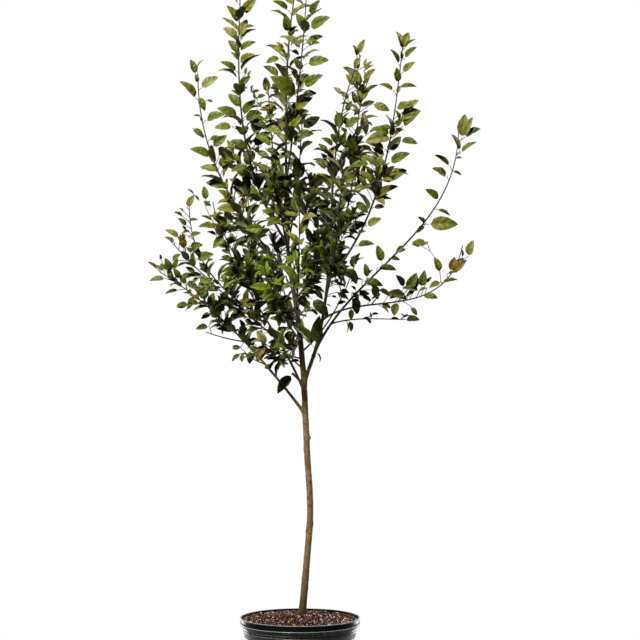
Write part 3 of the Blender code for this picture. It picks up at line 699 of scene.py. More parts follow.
def shoot_material(wood):
    """This year's shoots: smooth red-brown skin with a grey bloom and small pale lenticels."""
    made, node = new_material("apple shoot skin")
    place = object_place(node)
    inputs = {"Vector": place, "Scale": 1 / 0.018, "Detail": 3, "Roughness": 0.55}
    bloom = node("ShaderNodeMapRange", (node("ShaderNodeTexNoise", inputs), 0.40, 0.66))
    # Lenticels of 1 mm, some 4 mm apart
    cells = node("ShaderNodeTexVoronoi", {"Vector": place, "Scale": 260.0})
    dot = node("ShaderNodeMapRange", (cells, 0.12, 0.20, 1, 0))
    pale = node("ShaderNodeMath", (dot, 0.5), operation="MULTIPLY")
    base = layered(node, wood.shoot, (bloom, linear("#463d32")), (pale, linear("#82775f")))
    normal = node("ShaderNodeBump", {"Height": dot, "Distance": 0.0004, "Strength": 0.4})
    close_material(node, base, 0.55, 0.2, normal)
    return made


def pot_material(pot):
    """Moulded black polyethylene: a satin gloss that turns bright at its sides, and dust on its ledges whose
    pale colour is partly a painted highlight.
    """
    made, node = new_material("black polyethylene")
    place = object_place(node)
    stretched = object_place(node, (1, 1, 4))
    inputs = {"Vector": stretched, "Scale": 1 / 0.060, "Detail": 4, "Roughness": 0.6}
    smear = node("ShaderNodeTexNoise", inputs)
    up = node("ShaderNodeSeparateXYZ", (node("ShaderNodeNewGeometry", output="Normal"),), "Z")
    # Faces that look up take the pale colour: partly dust, partly a painted highlight on the lip and ledges.
    ledge_dust_and_highlight = node("ShaderNodeMapRange", (up, 0.35, 0.80, 0.0, 0.55))
    film = node("ShaderNodeMapRange", (smear, 0.50, 0.80, 0.0, 0.004))
    # Specks of splashed soil, 2 mm across
    cells = node("ShaderNodeTexVoronoi", {"Vector": place, "Scale": 160.0})
    specks = node("ShaderNodeMapRange", (cells, 0.05, 0.16, 1, 0))
    splashed = node("ShaderNodeMapRange", (smear, 0.5, 0.6, 0, 0.10))
    cover = node("ShaderNodeMath", (ledge_dust_and_highlight, film), operation="ADD")
    cover = node("ShaderNodeMath", (specks, splashed, cover), operation="MULTIPLY_ADD")
    inputs = {"Vector": place, "Scale": 1 / 0.0016, "Detail": 2, "Roughness": 0.55}
    grain = node("ShaderNodeTexNoise", inputs)
    normal = node("ShaderNodeBump", {"Height": grain, "Distance": 0.00012, "Strength": 0.25})
    rough = node("ShaderNodeMapRange", (smear, 0.3, 0.7, 0.20, 0.28))
    close_material(node, layered(node, pot.plastic, (cover, pot.dust_and_highlight)), rough, 0.11, normal, ior=1.51)
    return made


def soil_material(colour):
    """Potting mix: damp crumbs of peat and fine bark, dull, with painted shade that makes it nearly black in
    the hollows.
    """
    made, node = new_material("potting mix")
    inputs = {"Vector": object_place(node), "Scale": 1 / 0.004, "Detail": 5, "Roughness": 0.7}
    crumb = node("ShaderNodeTexNoise", inputs)
    share = node("ShaderNodeMapRange", (crumb, 0.35, 0.65))
    normal = node("ShaderNodeBump", {"Height": crumb, "Distance": 0.002, "Strength": 0.8})
    # Painted shade: the mix darkens where the crumb relief is low.
    base = layered(node, shaded(colour, 0.45), (share, shaded(colour, 1.6)))
    close_material(node, base, 0.95, 0.05, normal)
    return made


def chip_material(name, colour):
    """Pine bark chip: layered cork with a fine broken grain and dull flaky faces, darkened in the grain's low
    parts partly by painted shade.
    """
    made, node = new_material(name)
    inputs = {"Vector": object_place(node, (1, 2.5, 1)), "Scale": 1 / 0.0022, "Detail": 4, "Roughness": 0.65}
    grain = node("ShaderNodeTexNoise", inputs)
    inputs = {"Vector": object_place(node), "Scale": 1 / 0.011, "Detail": 2, "Roughness": 0.55}
    flake = node("ShaderNodeTexNoise", inputs)
    # Where the grain is low the chip falls to a quarter of its colour: partly the grain's own tone, partly
    # painted shade that stands in for the shadowed gaps between chips.
    base = layered(
        node, shaded(colour, 0.25),
        (node("ShaderNodeMapRange", (grain, 0.36, 0.66)), shaded(colour, 1.55)),
        (node("ShaderNodeMapRange", (flake, 0.58, 0.74, 0, 0.5)), shaded(colour, 2.0)),
    )
    normal = node("ShaderNodeBump", {"Height": grain, "Distance": 0.0008, "Strength": 0.6})
    close_material(node, base, 0.85, 0.08, normal)
    return made


def wax_material():
    """Red grafting wax: a small glossy dab that seals a cut."""
    made, node = new_material("red grafting wax")
    inputs = {"Vector": object_place(node), "Scale": 1 / 0.003, "Detail": 2, "Roughness": 0.55}
    tone = node("ShaderNodeMapRange", (node("ShaderNodeTexNoise", inputs), 0.35, 0.65))
    close_material(node, layered(node, linear("#a3171c"), (tone, linear("#d2494a"))), 0.3, ior=1.45)
    return made


def floor_material(colour):
    """Matte white studio floor that fades into the white surround at its edge."""
    made, node = new_material("matte studio floor")
    reach = node("ShaderNodeVectorMath", (object_place(node),), "Value", operation="LENGTH")
    fade = node("ShaderNodeMapRange", (reach, 0.75, 1.35))
    shader = node("ShaderNodeBsdfPrincipled", {"Base Color": colour, "Roughness": 0.8})
    faded = node("ShaderNodeMixShader", (fade, shader, node("ShaderNodeBsdfTransparent")))
    node("ShaderNodeOutputMaterial", (faded,))
    return made


# Meshes and objects


def object_of(name, mesh, materials=(), smooth=True):
    """A linked object at the origin with these materials."""
    if smooth:
        mesh.shade_smooth()
    for material in materials:
        mesh.materials.append(material)
    obj = bpy.data.objects.new(name, mesh)
    bpy.context.scene.collection.objects.link(obj)
    return obj


def mesh_of(name, points, faces):
    mesh = bpy.data.meshes.new(name)
    mesh.from_pydata([tuple(point) for point in points], [], faces)
    mesh.validate()
    return mesh


def mesh_from(bm, name):
    """Keeps what was built as a mesh of its own."""
    mesh = bpy.data.meshes.new(name)
    bm.to_mesh(mesh)
    bm.free()
    return mesh


def outward(mesh):
    """Merges doubles and turns every face outwards."""
    bm = bmesh.new()
    bm.from_mesh(mesh)
    bmesh.ops.remove_doubles(bm, verts=bm.verts, dist=1e-6)
    bmesh.ops.recalc_face_normals(bm, faces=bm.faces)
    bm.to_mesh(mesh)
    bm.free()
    return mesh


def level_way(angle):
    """The level direction at an angle about +Z, counted from +X."""
    return Vector((math.cos(angle), math.sin(angle), 0))


def wall(low, high):
    """The faces between two rings of point numbers."""
    nexts = [*range(1, len(low)), 0]
    return [(low[k], low[n], high[n], high[k]) for k, n in enumerate(nexts)]


def moved_on(faces, count):
    """The faces of a shape whose points follow `count` others."""
    return [tuple(count + corner for corner in face) for face in faces]


def plain_mesh(obj):
    """Turns what the modifiers make into the object's own mesh and removes them."""
    graph = bpy.context.evaluated_depsgraph_get()
    made = bpy.data.meshes.new_from_object(obj.evaluated_get(graph), depsgraph=graph)
    obj.modifiers.clear()
    old, obj.data = obj.data, made
    made.name = obj.name
    bpy.data.meshes.remove(old)
    return obj


def turned(name, profile, segments):
    """A closed mesh turned about Z from a profile whose first and last points lie on the axis."""
    ways = [level_way(math.tau * k / segments) for k in range(segments)]
    verts = [way * radius + UP * height for radius, height in profile[1:-1] for way in ways]
    rings = [range(first, first + segments) for first in range(0, len(verts), segments)]
    faces = [face for low, high in zip(rings, rings[1:]) for face in wall(low, high)]
    foot, tip = len(verts), len(verts) + 1
    for k, n in enumerate([*range(1, segments), 0]):
        faces += [(foot, n, k), (tip, rings[-1][k], rings[-1][n])]
    verts += [UP * profile[0][1], UP * profile[-1][1]]
    return outward(mesh_of(name, verts, faces))


def rounded(line, radius):
    """The line of points with each inner corner rounded."""
    made = [line[0]]
    for before, corner, after in zip(line, line[1:], line[2:]):
        corner, into, out = (Vector(point) for point in (corner, before, after))
        reach = min(radius, *(EDGE_ROUND_MOST * (end - corner).length for end in (into, out)))
        start, end = (corner + (end - corner).normalized() * reach for end in (into, out))
        for t in shares(0, 1, EDGE_ROUND_STEPS):
            made.append(tuple(start * (1 - t) ** 2 + corner * (2 * t * (1 - t)) + end * t**2))
    return made + [line[-1]]


def geometry_tree(name, inputs):
    """A Geometry Nodes tree with these named inputs, a function that adds a node, and its inputs' sockets."""
    tree = bpy.data.node_groups.new(name, "GeometryNodeTree")
    for label, kind, value in (("Geometry", "Geometry", None), *inputs):
        socket = tree.interface.new_socket(label, in_out="INPUT", socket_type="NodeSocket" + kind)
        if value is not None:
            socket.default_value = value
    tree.interface.new_socket("Geometry", in_out="OUTPUT", socket_type="NodeSocketGeometry")
    return tree, functools.partial(add_node, tree), tree.nodes.new("NodeGroupInput").outputs


def close_tree(node, made, *finishes):
    """Ends a tree: its instances become real, and each material goes on the faces that are chosen for it."""
    made = node("GeometryNodeRealizeInstances", {"Geometry": made})
    for material, chosen in finishes:
        made = node("GeometryNodeSetMaterial", {"Geometry": made, "Selection": chosen, "Material": material})
    node("NodeGroupOutput", (made,))


def grown_by(obj, tree, values):
    """Runs a tree on an object with these input values and keeps the result as a plain mesh."""
    modifier = obj.modifiers.new(tree.name, "NODES")
    modifier.node_group = tree
    for socket in tree.interface.items_tree:
        if socket.in_out == "INPUT" and socket.name in values:
            modifier[socket.identifier] = values[socket.name]
    return plain_mesh(obj)


def store(mesh, name, kind, values, domain="POINT"):
    """Keeps a value for each point or face of a mesh."""
    attribute = mesh.attributes.new(name, kind, domain)
    flat = np.array(values, np.int32 if kind == "INT" else np.float32).ravel()
    attribute.data.foreach_set("vector" if kind == "FLOAT_VECTOR" else "value", flat)


def scattered_tree():
    """Instances of a collection's shapes at points, picked, turned and sized by the points' own values."""
    tree, node, given = geometry_tree(
        "Leaves on their stalks",
        (
            ("Shapes", "Collection", None),
            ("Length", "Float", 1.0),
            ("Upper side", "Material", None),
            ("Underside", "Material", None),
            ("Stalk", "Material", None),
        ),
    )
    turn, size, shape, finish = (
        node("GeometryNodeInputNamedAttribute", {"Name": name}, "Attribute", data_type=kind)
        for name, kind in (("turn", "FLOAT_VECTOR"), ("size", "FLOAT"), ("shape", "INT"), ("finish", "INT"))
    )
    shapes = {"Collection": given["Shapes"], "Separate Children": True, "Reset Children": True}
    placed = node(
        "GeometryNodeInstanceOnPoints",
        {
            "Points": node("GeometryNodeMeshToPoints", {"Mesh": given["Geometry"]}),
            "Instance": node("GeometryNodeCollectionInfo", shapes),
            "Pick Instance": True,
            "Instance Index": shape,
            "Rotation": node("FunctionNodeEulerToRotation", (turn,)),
            "Scale": node("ShaderNodeMath", (size, given["Length"]), operation="MULTIPLY"),
        },
    )
    finishes = []
    for number, label in enumerate(("Upper side", "Underside", "Stalk")):
        chosen = node("FunctionNodeCompare", {2: finish, 3: number}, data_type="INT", operation="EQUAL")
        finishes.append((given[label], chosen))
    close_tree(node, placed, *finishes)
    return tree


def shoots_tree():
    """Round shoots along the edges of a mesh, as thick as its points say."""
    tree, node, given = geometry_tree(
        "Shoots along lines", (("Sides", "Int", 6), ("Thickness", "Float", 1.0), ("Skin", "Material", None))
    )
    girth = node("GeometryNodeInputNamedAttribute", {"Name": "girth"}, "Attribute", data_type="FLOAT")
    ring = {"Resolution": given["Sides"], "Radius": 1.0}
    tube = node(
        "GeometryNodeCurveToMesh",
        {
            "Curve": node("GeometryNodeMeshToCurve", {"Mesh": given["Geometry"]}),
            "Profile Curve": node("GeometryNodeCurvePrimitiveCircle", ring),
            "Scale": node("ShaderNodeMath", (girth, given["Thickness"]), operation="MULTIPLY"),
            "Fill Caps": True,
        },
    )
    close_tree(node, node("GeometryNodeSetShadeSmooth", {"Geometry": tube}), (given["Skin"], True))
    return tree


def chips_tree():
    """Chips strewn over a surface, lying nearly flat, each turned and sized by the seeded dice."""
    tree, node, given = geometry_tree(
        "Strewn chips",
        (
            ("Chips per square metre", "Float", 9000.0),
            ("Chip length", "Float", 0.01),
            ("Tilt", "Float", 0.5),
            ("Seed", "Int", 0),
            ("Shapes", "Collection", None),
            ("Bark", "Material", None),
        ),
    )
    seed = given["Seed"]
    strewn = {"Mesh": given["Geometry"], "Density": given["Chips per square metre"], "Seed": seed}
    shapes = {"Collection": given["Shapes"], "Separate Children": True, "Reset Children": True}
    most = node("ShaderNodeCombineXYZ", (given["Tilt"], given["Tilt"], math.pi))
    least = node("ShaderNodeVectorMath", {0: most, 3: -1.0}, operation="SCALE")
    turn = node("FunctionNodeRandomValue", {0: least, 1: most, "Seed": seed}, data_type="FLOAT_VECTOR")
    size = {2: CHIP_SIZES[0], 3: CHIP_SIZES[1], "Seed": seed}
    size = node("FunctionNodeRandomValue", size, 1, data_type="FLOAT")
    placed = node(
        "GeometryNodeInstanceOnPoints",
        {
            "Points": node("GeometryNodeDistributePointsOnFaces", strewn),
            "Instance": node("GeometryNodeCollectionInfo", shapes),
            "Pick Instance": True,
            "Instance Index": node(
                "FunctionNodeRandomValue", {4: 0, 5: CHIP_SHAPES - 1, "Seed": seed}, 2, data_type="INT"
            ),
            "Rotation": node("FunctionNodeEulerToRotation", (turn,)),
            "Scale": node("ShaderNodeMath", (size, given["Chip length"]), operation="MULTIPLY"),
        },
    )
    close_tree(node, placed, (given["Bark"], True))
    return tree


def settle(obj, slot, *nodes):
    """The piece rides with the tree and stands for these solids, which are hidden. The slot is not used."""
    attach(obj, BODY)
    if nodes:
        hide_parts(*nodes)
    return obj


# Lines of the trunk and limbs, by the source's rule


def trunk_at(height):
    """Axis point and radius of the trunk and leader at a height, on a smooth curve through TRUNK_LINE."""
    rows = TRUNK_LINE
    i = max(n for n in range(len(rows) - 1) if rows[n].height <= height or n == 0)
    before, start, end, after = (rows[min(max(i + k, 0), len(rows) - 1)] for k in (-1, 0, 1, 2))
    span = end.height - start.height
    t = (height - start.height) / span

    def curve(field):
        a, b, c, d = (getattr(row, field) for row in (before, start, end, after))
        first = (c - a) / max(end.height - before.height, span) * span
        last = (d - b) / max(after.height - start.height, span) * span
        return (
            (2 * t**3 - 3 * t**2 + 1) * b
            + (t**3 - 2 * t**2 + t) * first
            + (3 * t**2 - 2 * t**3) * c
            + (t**3 - t**2) * last
        )

    return Vector((curve("x"), curve("y"), height)), start.radius + (end.radius - start.radius) * t


def shares(first, last, steps):
    return [first + (last - first) * k / steps for k in range(steps + 1)]


def line_length(points):
    return sum((b - a).length for a, b in zip(points, points[1:]))


def place_on(points, reach):
    """The point at a distance along a line of points, and the way the line runs there."""
    for start, end in zip(points, points[1:]):
        length = (end - start).length
        if reach <= length or end is points[-1]:
            along = (end - start) / length
            return start + along * min(reach, length), along
        reach -= length


class Axis:
    """The line and radius of a limb, by share of its length."""

    def __init__(self, name, place, radius, bare, twig):
        self.name = name
        self.place = place
        self.radius = radius
        self.bare = bare
        self.twig = twig
        self.length = line_length([place(share) for share in shares(0, 1, LENGTH_STEPS)])

    def stations(self, first, last, steps):
        cuts = shares(first, last, steps)
        return [self.place(cut) for cut in cuts], [self.radius(cut) for cut in cuts]

    def share_at(self, height):
        """The share at which the line passes a height, by halving."""
        low, high = 0.0, 1.0
        for _ in range(HALVINGS):
            middle = (low + high) / 2
            if self.place(middle).z < height:
                low = middle
            else:
                high = middle
        return low


def trunk_axis():
    top = TRUNK_LINE[-1].height
    return Axis(
        "trunk",
        lambda share: trunk_at(GROUND + share * (top - GROUND))[0],
        lambda share: trunk_at(GROUND + share * (top - GROUND))[1],
        (TRUNK_TOP - GROUND) / (top - GROUND),
        LEADER_TWIG,
    )


def limb_axis(limb, parent):
    """A cubic curve that passes at its named sags below the straight line from foot to tip."""
    foot = parent.place(parent.share_at(limb.start))
    leaf_tip = Vector(limb.tip)
    chord = leaf_tip - foot - (leaf_tip - foot).normalized() * TIP_INSET
    down = (chord * (UP.dot(chord) / chord.length_squared) - UP).normalized()
    first = foot + chord / 3 + down * (3 * limb.low - 1.5 * limb.high)
    second = foot + chord * (2 / 3) + down * (3 * limb.high - 1.5 * limb.low)
    tip = foot + chord

    def place(share):
        rest = 1 - share
        bent = first * (3 * share * rest**2) + second * (3 * share**2 * rest)
        return foot * rest**3 + bent + tip * share**3

    def radius(share):
        return limb.radius + (LIMB_TIP_RADIUS - limb.radius) * share**LIMB_TAPER

    return Axis(limb.name, place, radius, limb.bare, limb.twig)


@functools.lru_cache(maxsize=None)
def all_axes():
    """The axes of the trunk and limbs. A parent stays bare to just past its last child."""
    axes = {"trunk": trunk_axis()}
    for limb in LIMBS:
        parent = axes[limb.parent]
        axes[limb.name] = limb_axis(limb, parent)
        parent.bare = max(parent.bare, parent.share_at(limb.start) + CHILD_MARGIN / parent.length)
    for axis in axes.values():
        axis.bare *= HABITS.get(axis.name, COMMON_HABIT).bare
    return axes


def distances(points, starts, ends):
    """The distance of each point to each straight stretch, as a table."""
    line = ends - starts
    reach = points[:, None, :] - starts
    share = (reach * line).sum(2) / (line * line).sum(1)
    return np.linalg.norm(reach - np.clip(share, 0, 1)[..., None] * line, axis=2)


class Crown:
    """Who owns which space: each mass keeps nearer to its own stem than to any other."""

    def __init__(self, axes):
        self.stems = {}
        wood = []
        for name, axis in axes.items():
            leafy, _ = axis.stations(axis.bare, 1, STEM_SAMPLES)
            self.stems[name] = np.array(leafy)
            bare, radii = axis.stations(0, axis.bare, WOOD_SAMPLES)
            wood += zip(bare, bare[1:], radii)
        self.wood_start, self.wood_end, self.wood_radius = (np.array(column) for column in zip(*wood))
        self.low, self.high = (np.array(corner) for corner in SOLID_BOX)
        self.low -= BOX_ROOM
        self.high += BOX_ROOM

    def holds(self, name, places):
        """True if every place lies in the named mass's space, clear of every bare limb and inside the box."""
        points = np.array([place[:] for place in places])
        if (points < self.low).any() or (points > self.high).any():
            return False
        own = distances(points, self.stems[name][:-1], self.stems[name][1:]).min(1)
        starts = np.concatenate([line[:-1] for other, line in self.stems.items() if other != name])
        ends = np.concatenate([line[1:] for other, line in self.stems.items() if other != name])
        others = distances(points, starts, ends).min(1)
        if (own - SPACE_SHARED > others).any():
            return False
        wood = distances(points, self.wood_start, self.wood_end) - self.wood_radius
        return bool((wood > LEAF_WOOD_ROOM).all())


# Twigs and leaves, by the source's rule and on to finer twigs


Shoot = namedtuple("Shoot", "points radii")
Leaf = namedtuple("Leaf", "root way upper size shape tint")


def around(along, angle):
    """A direction square to `along`, at an angle about it counted from a fixed side."""
    side = along.cross(SIDE_GUIDE).normalized()
    return Quaternion(along, angle) @ side


def leaf_ways(along, angle, leaving):
    """The direction of a leaf that leaves a stem, and its upper side."""
    outward_way = around(along, angle)
    way = along * math.cos(leaving) + outward_way * math.sin(leaving)
    upper = along * math.sin(leaving) - outward_way * math.cos(leaving)
    return (way + UP * LEAF_LIFT).normalized(), upper + UP * LEAF_SKYWARD + SUNWARD * LEAF_SUNWARD


def tint_weights(place):
    """How often each tint of TINTS is dealt to a spray at this place."""
    # Lighter tints in the sun are painted light, and more of the deep tint in the crown's inner part is
    # painted shade
    high = min(max((place.z - SUNNY_HEIGHT) / SUNNY_RISE, 0), 1)
    right = min(max((place.x - SUNNY_SIDE) / SUNNY_REACH, 0), 1)
    sunny = max(high, SUNNY_SIDE_SHARE * right)
    inner = abs(place.x - INNER_MIDDLE) < INNER_WIDTH and place.z < INNER_TOP
    low_front = place.y < LOW_DEPTH and place.z < LOW_TOP and abs(place.x - LOW_MIDDLE) < LOW_WIDTH
    flushed = any((place - spot).length < BRONZE_REACH for spot in BRONZE_SPOTS)
    here = (1, sunny, inner, low_front, flushed)
    return [max(0, sum(weight * much for weight, much in zip(tint.weights, here))) for tint in TINTS]


class Mass:
    """The growing state of one mass: its axis, its seeded dice, and the shoots and leaves it has so far."""

    def __init__(self, axis, crown, number, length, tint_seed):
        self.axis = axis
        self.crown = crown
        self.habit = HABITS.get(axis.name, COMMON_HABIT)
        self.length = length * self.habit.size
        self.rng = random.Random(SEED + number)
        self.tints = random.Random(1000 * tint_seed + number)
        self.turn = self.rng.uniform(0, math.tau)
        self.tint = 0
        self.shoots = []
        self.leaves = []
        self.middles = []

    def deal_tint(self, place):
        self.tint = self.tints.choices(range(len(TINTS)), tint_weights(place))[0]

    def shake(self, reach):
        return Vector([self.rng.uniform(-reach, reach) for _ in range(3)])

    def add_leaf(self, root, along, angle, leaving, size, shape=None):
        """A leaf at a place on a stem. One that has no room is tried again a little further round."""
        length = self.length * size
        for attempt in range(LEAF_TRIES):
            way, upper = leaf_ways(along, angle + attempt * LEAF_TRY_TURN, leaving)
            way = (way + self.shake(LEAF_JITTER)).normalized()
            upper = (upper + self.shake(LEAF_ROLL)).normalized()
            middle, tip = root + way * (0.6 * length), root + way * length
            if self.crown.holds(self.axis.name, (middle, tip)) and self.clear_of_leaves(middle):
                picked = self.rng.randrange(RULE_BLADES) if shape is None else shape
                self.middles.append(middle)
                self.leaves.append(Leaf(root, way, upper, size * self.habit.size, picked, self.tint))
                return

    def clear_of_leaves(self, middle):
        return all((middle - other).length > LEAF_APART for other in self.middles)

    def leaves_along(self, points, first, gap, size):
        """Leaves at even gaps along a line, each turned on by the golden angle, with a tuft at its tip."""
        length = line_length(points)
        gap = gap / self.habit.fullness
        count = max(1, int((length - first) / gap))
        for k in range(count):
            reach = first + gap * (k + self.rng.uniform(*LEAF_PLACES))
            if reach > length:
                break
            root, along = place_on(points, reach)
            self.turn += GOLDEN_ANGLE
            if k % SPRAY_LEAVES == 0:
                self.deal_tint(root)
            young = 1 - YOUNG_LEAF_LOSS * k / count
            self.add_leaf(root, along, self.turn, LEAF_LEAVING, size * young * self.rng.uniform(*LEAF_SIZES))
        for k in range(TUFT_LEAVES):
            root, along = place_on(points, length - TUFT_GAP * k)
            self.turn += math.tau / TUFT_LEAVES
            tuft = size * TUFT_SIZE * self.rng.uniform(*TUFT_SIZES)
            self.add_leaf(root, along, self.turn, TUFT_LEAVING, tuft)

    def add_twig(self, line, share, longest, finer):
        """The longest side twig that keeps to the mass's space, with its leaves and finer twigs."""
        start, along = place_on(line, share * line_length(line))
        self.turn += GOLDEN_ANGLE
        way = along * math.cos(TWIG_LEAVING) + around(along, self.turn) * math.sin(TWIG_LEAVING)
        wanted = longest * (1 - (1 - TWIG_AT_TIP) * share) * self.rng.uniform(*TWIG_LENGTHS)
        bends = self.shake(TWIG_SWAY)
        for shortening in TWIG_SHORTENING:
            reach = wanted * shortening
            points = []
            for cut in shares(0, 1, TWIG_PARTS):
                sway = bends * (reach * cut * (1 - cut))
                points.append(start + way * (reach * cut) + UP * (TWIG_RISE * reach * cut**2) + sway)
            if self.crown.holds(self.axis.name, points[2:]):
                break
        else:
            return
        self.shoots.append(Shoot(points, shares(TWIG_RADIUS, TWIG_TIP_RADIUS, TWIG_PARTS)))
        self.deal_tint(points[-1])
        self.leaves_along(points, LEAF_START, TWIG_LEAF_GAP, TWIG_LEAF_SIZE)
        if finer and reach > FINE_TWIG_LEAST:
            for place in FINE_TWIG_PLACES:
                self.add_twig(points, place, reach * FINE_TWIG_SHARE, False)

    def add_spur(self, line, reach):
        """A short fruiting spur with a rosette of small leaves."""
        start, along = place_on(line, reach)
        self.turn += GOLDEN_ANGLE
        way = (along * 0.5 + around(along, self.turn)).normalized()
        end = start + way * (SPUR_LENGTH * self.rng.uniform(*SPUR_LENGTHS))
        if not self.crown.holds(self.axis.name, (end,)):
            return
        self.shoots.append(Shoot([start, start.lerp(end, 0.5), end], SPUR_RADII))
        self.deal_tint(end)
        for _ in range(SPUR_LEAVES):
            self.turn += GOLDEN_ANGLE
            size = SPUR_LEAF_SIZE * self.rng.uniform(*SPUR_LEAF_SIZES)
            self.add_leaf(end, way, self.turn, math.radians(self.rng.uniform(*SPUR_LEAVING)), size)

    def grow(self):
        clothed = (1 - self.axis.bare) * self.habit.seeded
        if not clothed:
            return self
        steps = max(3, round(self.axis.length * clothed / STEM_STEP))
        line, _ = self.axis.stations(self.axis.bare, self.axis.bare + clothed, steps)
        length = line_length(line)
        old_wood = max(length - self.habit.new_wood, OLD_WOOD_LEAST * length)
        twigs = max(1, int(old_wood * self.habit.fullness / TWIG_GAP))
        for k in range(twigs):
            share = TWIG_FIRST + (old_wood / length - TWIG_FIRST) * (k + self.rng.uniform(0, 0.6)) / twigs
            self.add_twig(line, share, self.axis.twig, True)
        for k in range(int(old_wood * self.habit.fullness / SPUR_GAP)):
            self.add_spur(line, SPUR_GAP / self.habit.fullness * (k + self.rng.uniform(0, 0.8)))
        self.leaves_along(line, LEAF_START, LEAF_GAP, 1)
        return self


@functools.lru_cache(maxsize=None)
def grown_masses(length, tint_seed):
    """Every mass of the crown, grown."""
    axes = all_axes()
    crown = Crown(axes)
    return [Mass(axis, crown, number, length, tint_seed).grow() for number, axis in enumerate(axes.values())]


def masses_now():
    leaves = bpy.context.scene.apple_leaves
    return grown_masses(round(leaves.length, 4), leaves.seed)


def mass_node(axis):
    return "mass_leader" if axis.name == "trunk" else f"mass_{axis.name}"


# Bark


def ring_frames(points):
    """Two directions square to a line at each of its points, carried along without twist."""
    frames = []
    side = None
    for before, after in zip(points[:1] + points, points[1:] + points[-1:]):
        along = (after - before).normalized()
        side = along.orthogonal() if side is None else side - along * side.dot(along)
        side = side.normalized()
        frames.append((side, along.cross(side)))
    return frames


def bark_tube(points, radii, sides, relief, standing_out, level_foot=False):
    """Points and faces of a closed tube with bark relief. `standing_out` says what adds to its radius."""
    verts = []
    run = 0.0
    for i, (point, radius, (side, other)) in enumerate(zip(points, radii, ring_frames(points))):
        if i:
            run += (point - points[i - 1]).length
        for k in range(sides):
            angle = math.tau * k / sides
            way = side * math.cos(angle) + other * math.sin(angle)
            spot = way * radius
            ridges = Vector((spot.x, spot.y, 0)) / RIDGE_WIDTH + UP * (run / RIDGE_LENGTH + point.x * 40)
            pores = Vector((spot.x, spot.y, 7)) / PORE_WIDTH + UP * (run / PORE_HEIGHT)
            out = relief * (noise.noise(ridges) + PORE_RISE * max(0.0, noise.noise(pores) - PORE_RARITY))
            place = point + way * (radius + out + standing_out(point, way, radius))
            if level_foot and i == 0:
                place.z = point.z
            verts.append(place)
    rings = [range(first, first + sides) for first in range(0, len(verts), sides)]
    faces = [face for low, high in zip(rings, rings[1:]) for face in wall(low, high)]
    foot, tip = len(verts), len(verts) + 1
    for k, n in enumerate([*range(1, sides), 0]):
        faces += [(foot, n, k), (tip, rings[-1][k], rings[-1][n])]
    return verts + [points[0], points[-1]], faces


def swell(rise, way, facing, spread):
    """How far a swelling stands out at a place, from 0 to 1: `rise` says how far past its middle it lies."""
    turn = math.acos(max(-1, min(1, way.dot(facing)))) / spread
    return math.exp(-rise - turn * turn)


def trunk_mesh(relief):
    """Points and faces of the trunk, swollen at its nodes and forks and flared at its foot."""
    axes = all_axes()
    rings = round((TRUNK_LINE[-1].height - GROUND) / TRUNK_RING)
    points, radii = axes["trunk"].stations(0, 1, rings)
    bumps = [
        (bump.height, bump.along, level_way(math.radians(bump.angle)), bump.round, bump.out)
        for bump in TRUNK_SWELLINGS
    ]
    for limb in LIMBS:
        if limb.parent == "trunk":
            foot = axes[limb.name].place(0)
            way = axes[limb.name].place(FORK_REACH) - foot
            facing = Vector((way.x, way.y, 0)).normalized()
            along = FORK_SPREAD + FORK_SPREAD_SHARE * limb.radius
            bumps.append((foot.z + FORK_LIFT, along, facing, FORK_ROUND, FORK_OUT * limb.radius))
    flares = [(level_way(math.radians(angle)), out) for angle, out in ROOT_FLARES]

    def standing_out(point, way, radius):
        uneven = Vector((way.x * 1.3, way.y * 1.3, point.z / TRUNK_WAVE))
        out = radius * TRUNK_WAVINESS * noise.noise(uneven)
        for height, along, facing, spread, most in bumps:
            rise = (point.z - height) / along
            if abs(rise) < SWELLING_END:
                out += most * swell(rise * rise, way, facing, spread)
        above = (point.z - GROUND) / FLARE_HEIGHT
        if above < FLARE_END:
            out += sum(flare * swell(above, way, facing, FLARE_ROUND) for facing, flare in flares)
        return out

    return bark_tube(points, radii, TRUNK_SIDES, relief, standing_out, level_foot=True)


def bough_shapes(relief):
    """Points and faces of every bough, its foot widened into a collar where it leaves its parent."""
    axes = all_axes()
    verts, faces = [], []
    for limb in LIMBS:
        axis, parent = axes[limb.name], axes[limb.parent]
        host = parent.radius(parent.share_at(limb.start))
        points, radii = axis.stations(0, 1, round(axis.length / BOUGH_RING))

        def collar(point, way, radius, foot=points[0], host=host, limb=limb):
            reach = max((point - foot).length - host, 0)
            wave = BOUGH_WAVINESS * noise.noise(Vector((way.x, way.y, way.z + point.z / BOUGH_WAVE)))
            return radius * wave + COLLAR_OUT * limb.radius * math.exp(-reach / (COLLAR_REACH * limb.radius))

        made, around_it = bark_tube(points, radii, BOUGH_SIDES, relief * BOUGH_RELIEF, collar)
        faces += moved_on(around_it, len(verts))
        verts += made
    return verts, faces


def stub_shape(relief):
    """The cut-back shoot beside the fork."""
    foot, _ = trunk_at(STUB_HEIGHT)
    cuts = shares(0, 1, STUB_RINGS)
    points = [foot + STUB_WAY * (STUB_LENGTH * cut) for cut in cuts]
    radii = [STUB_RADIUS * (1 + (STUB_TAPER - 1) * cut) for cut in cuts]
    return bark_tube(points, radii, STUB_SIDES, relief, lambda point, way, radius: 0.0)


# Leaves


def blade_line(blade):
    """The points of a blade's midrib and the angle at which it runs on from each."""
    bend = math.radians(blade.bend)
    heading = [bend * (BLADE_RISE - (k + 0.5) / BLADE_STEPS) for k in range(BLADE_STEPS)]
    line = [Vector((0, PETIOLE, 0))]
    for angle in heading:
        line.append(line[-1] + Vector((0, math.cos(angle), math.sin(angle))) * ((1 - PETIOLE) / BLADE_STEPS))
    return line, heading + heading[-1:]


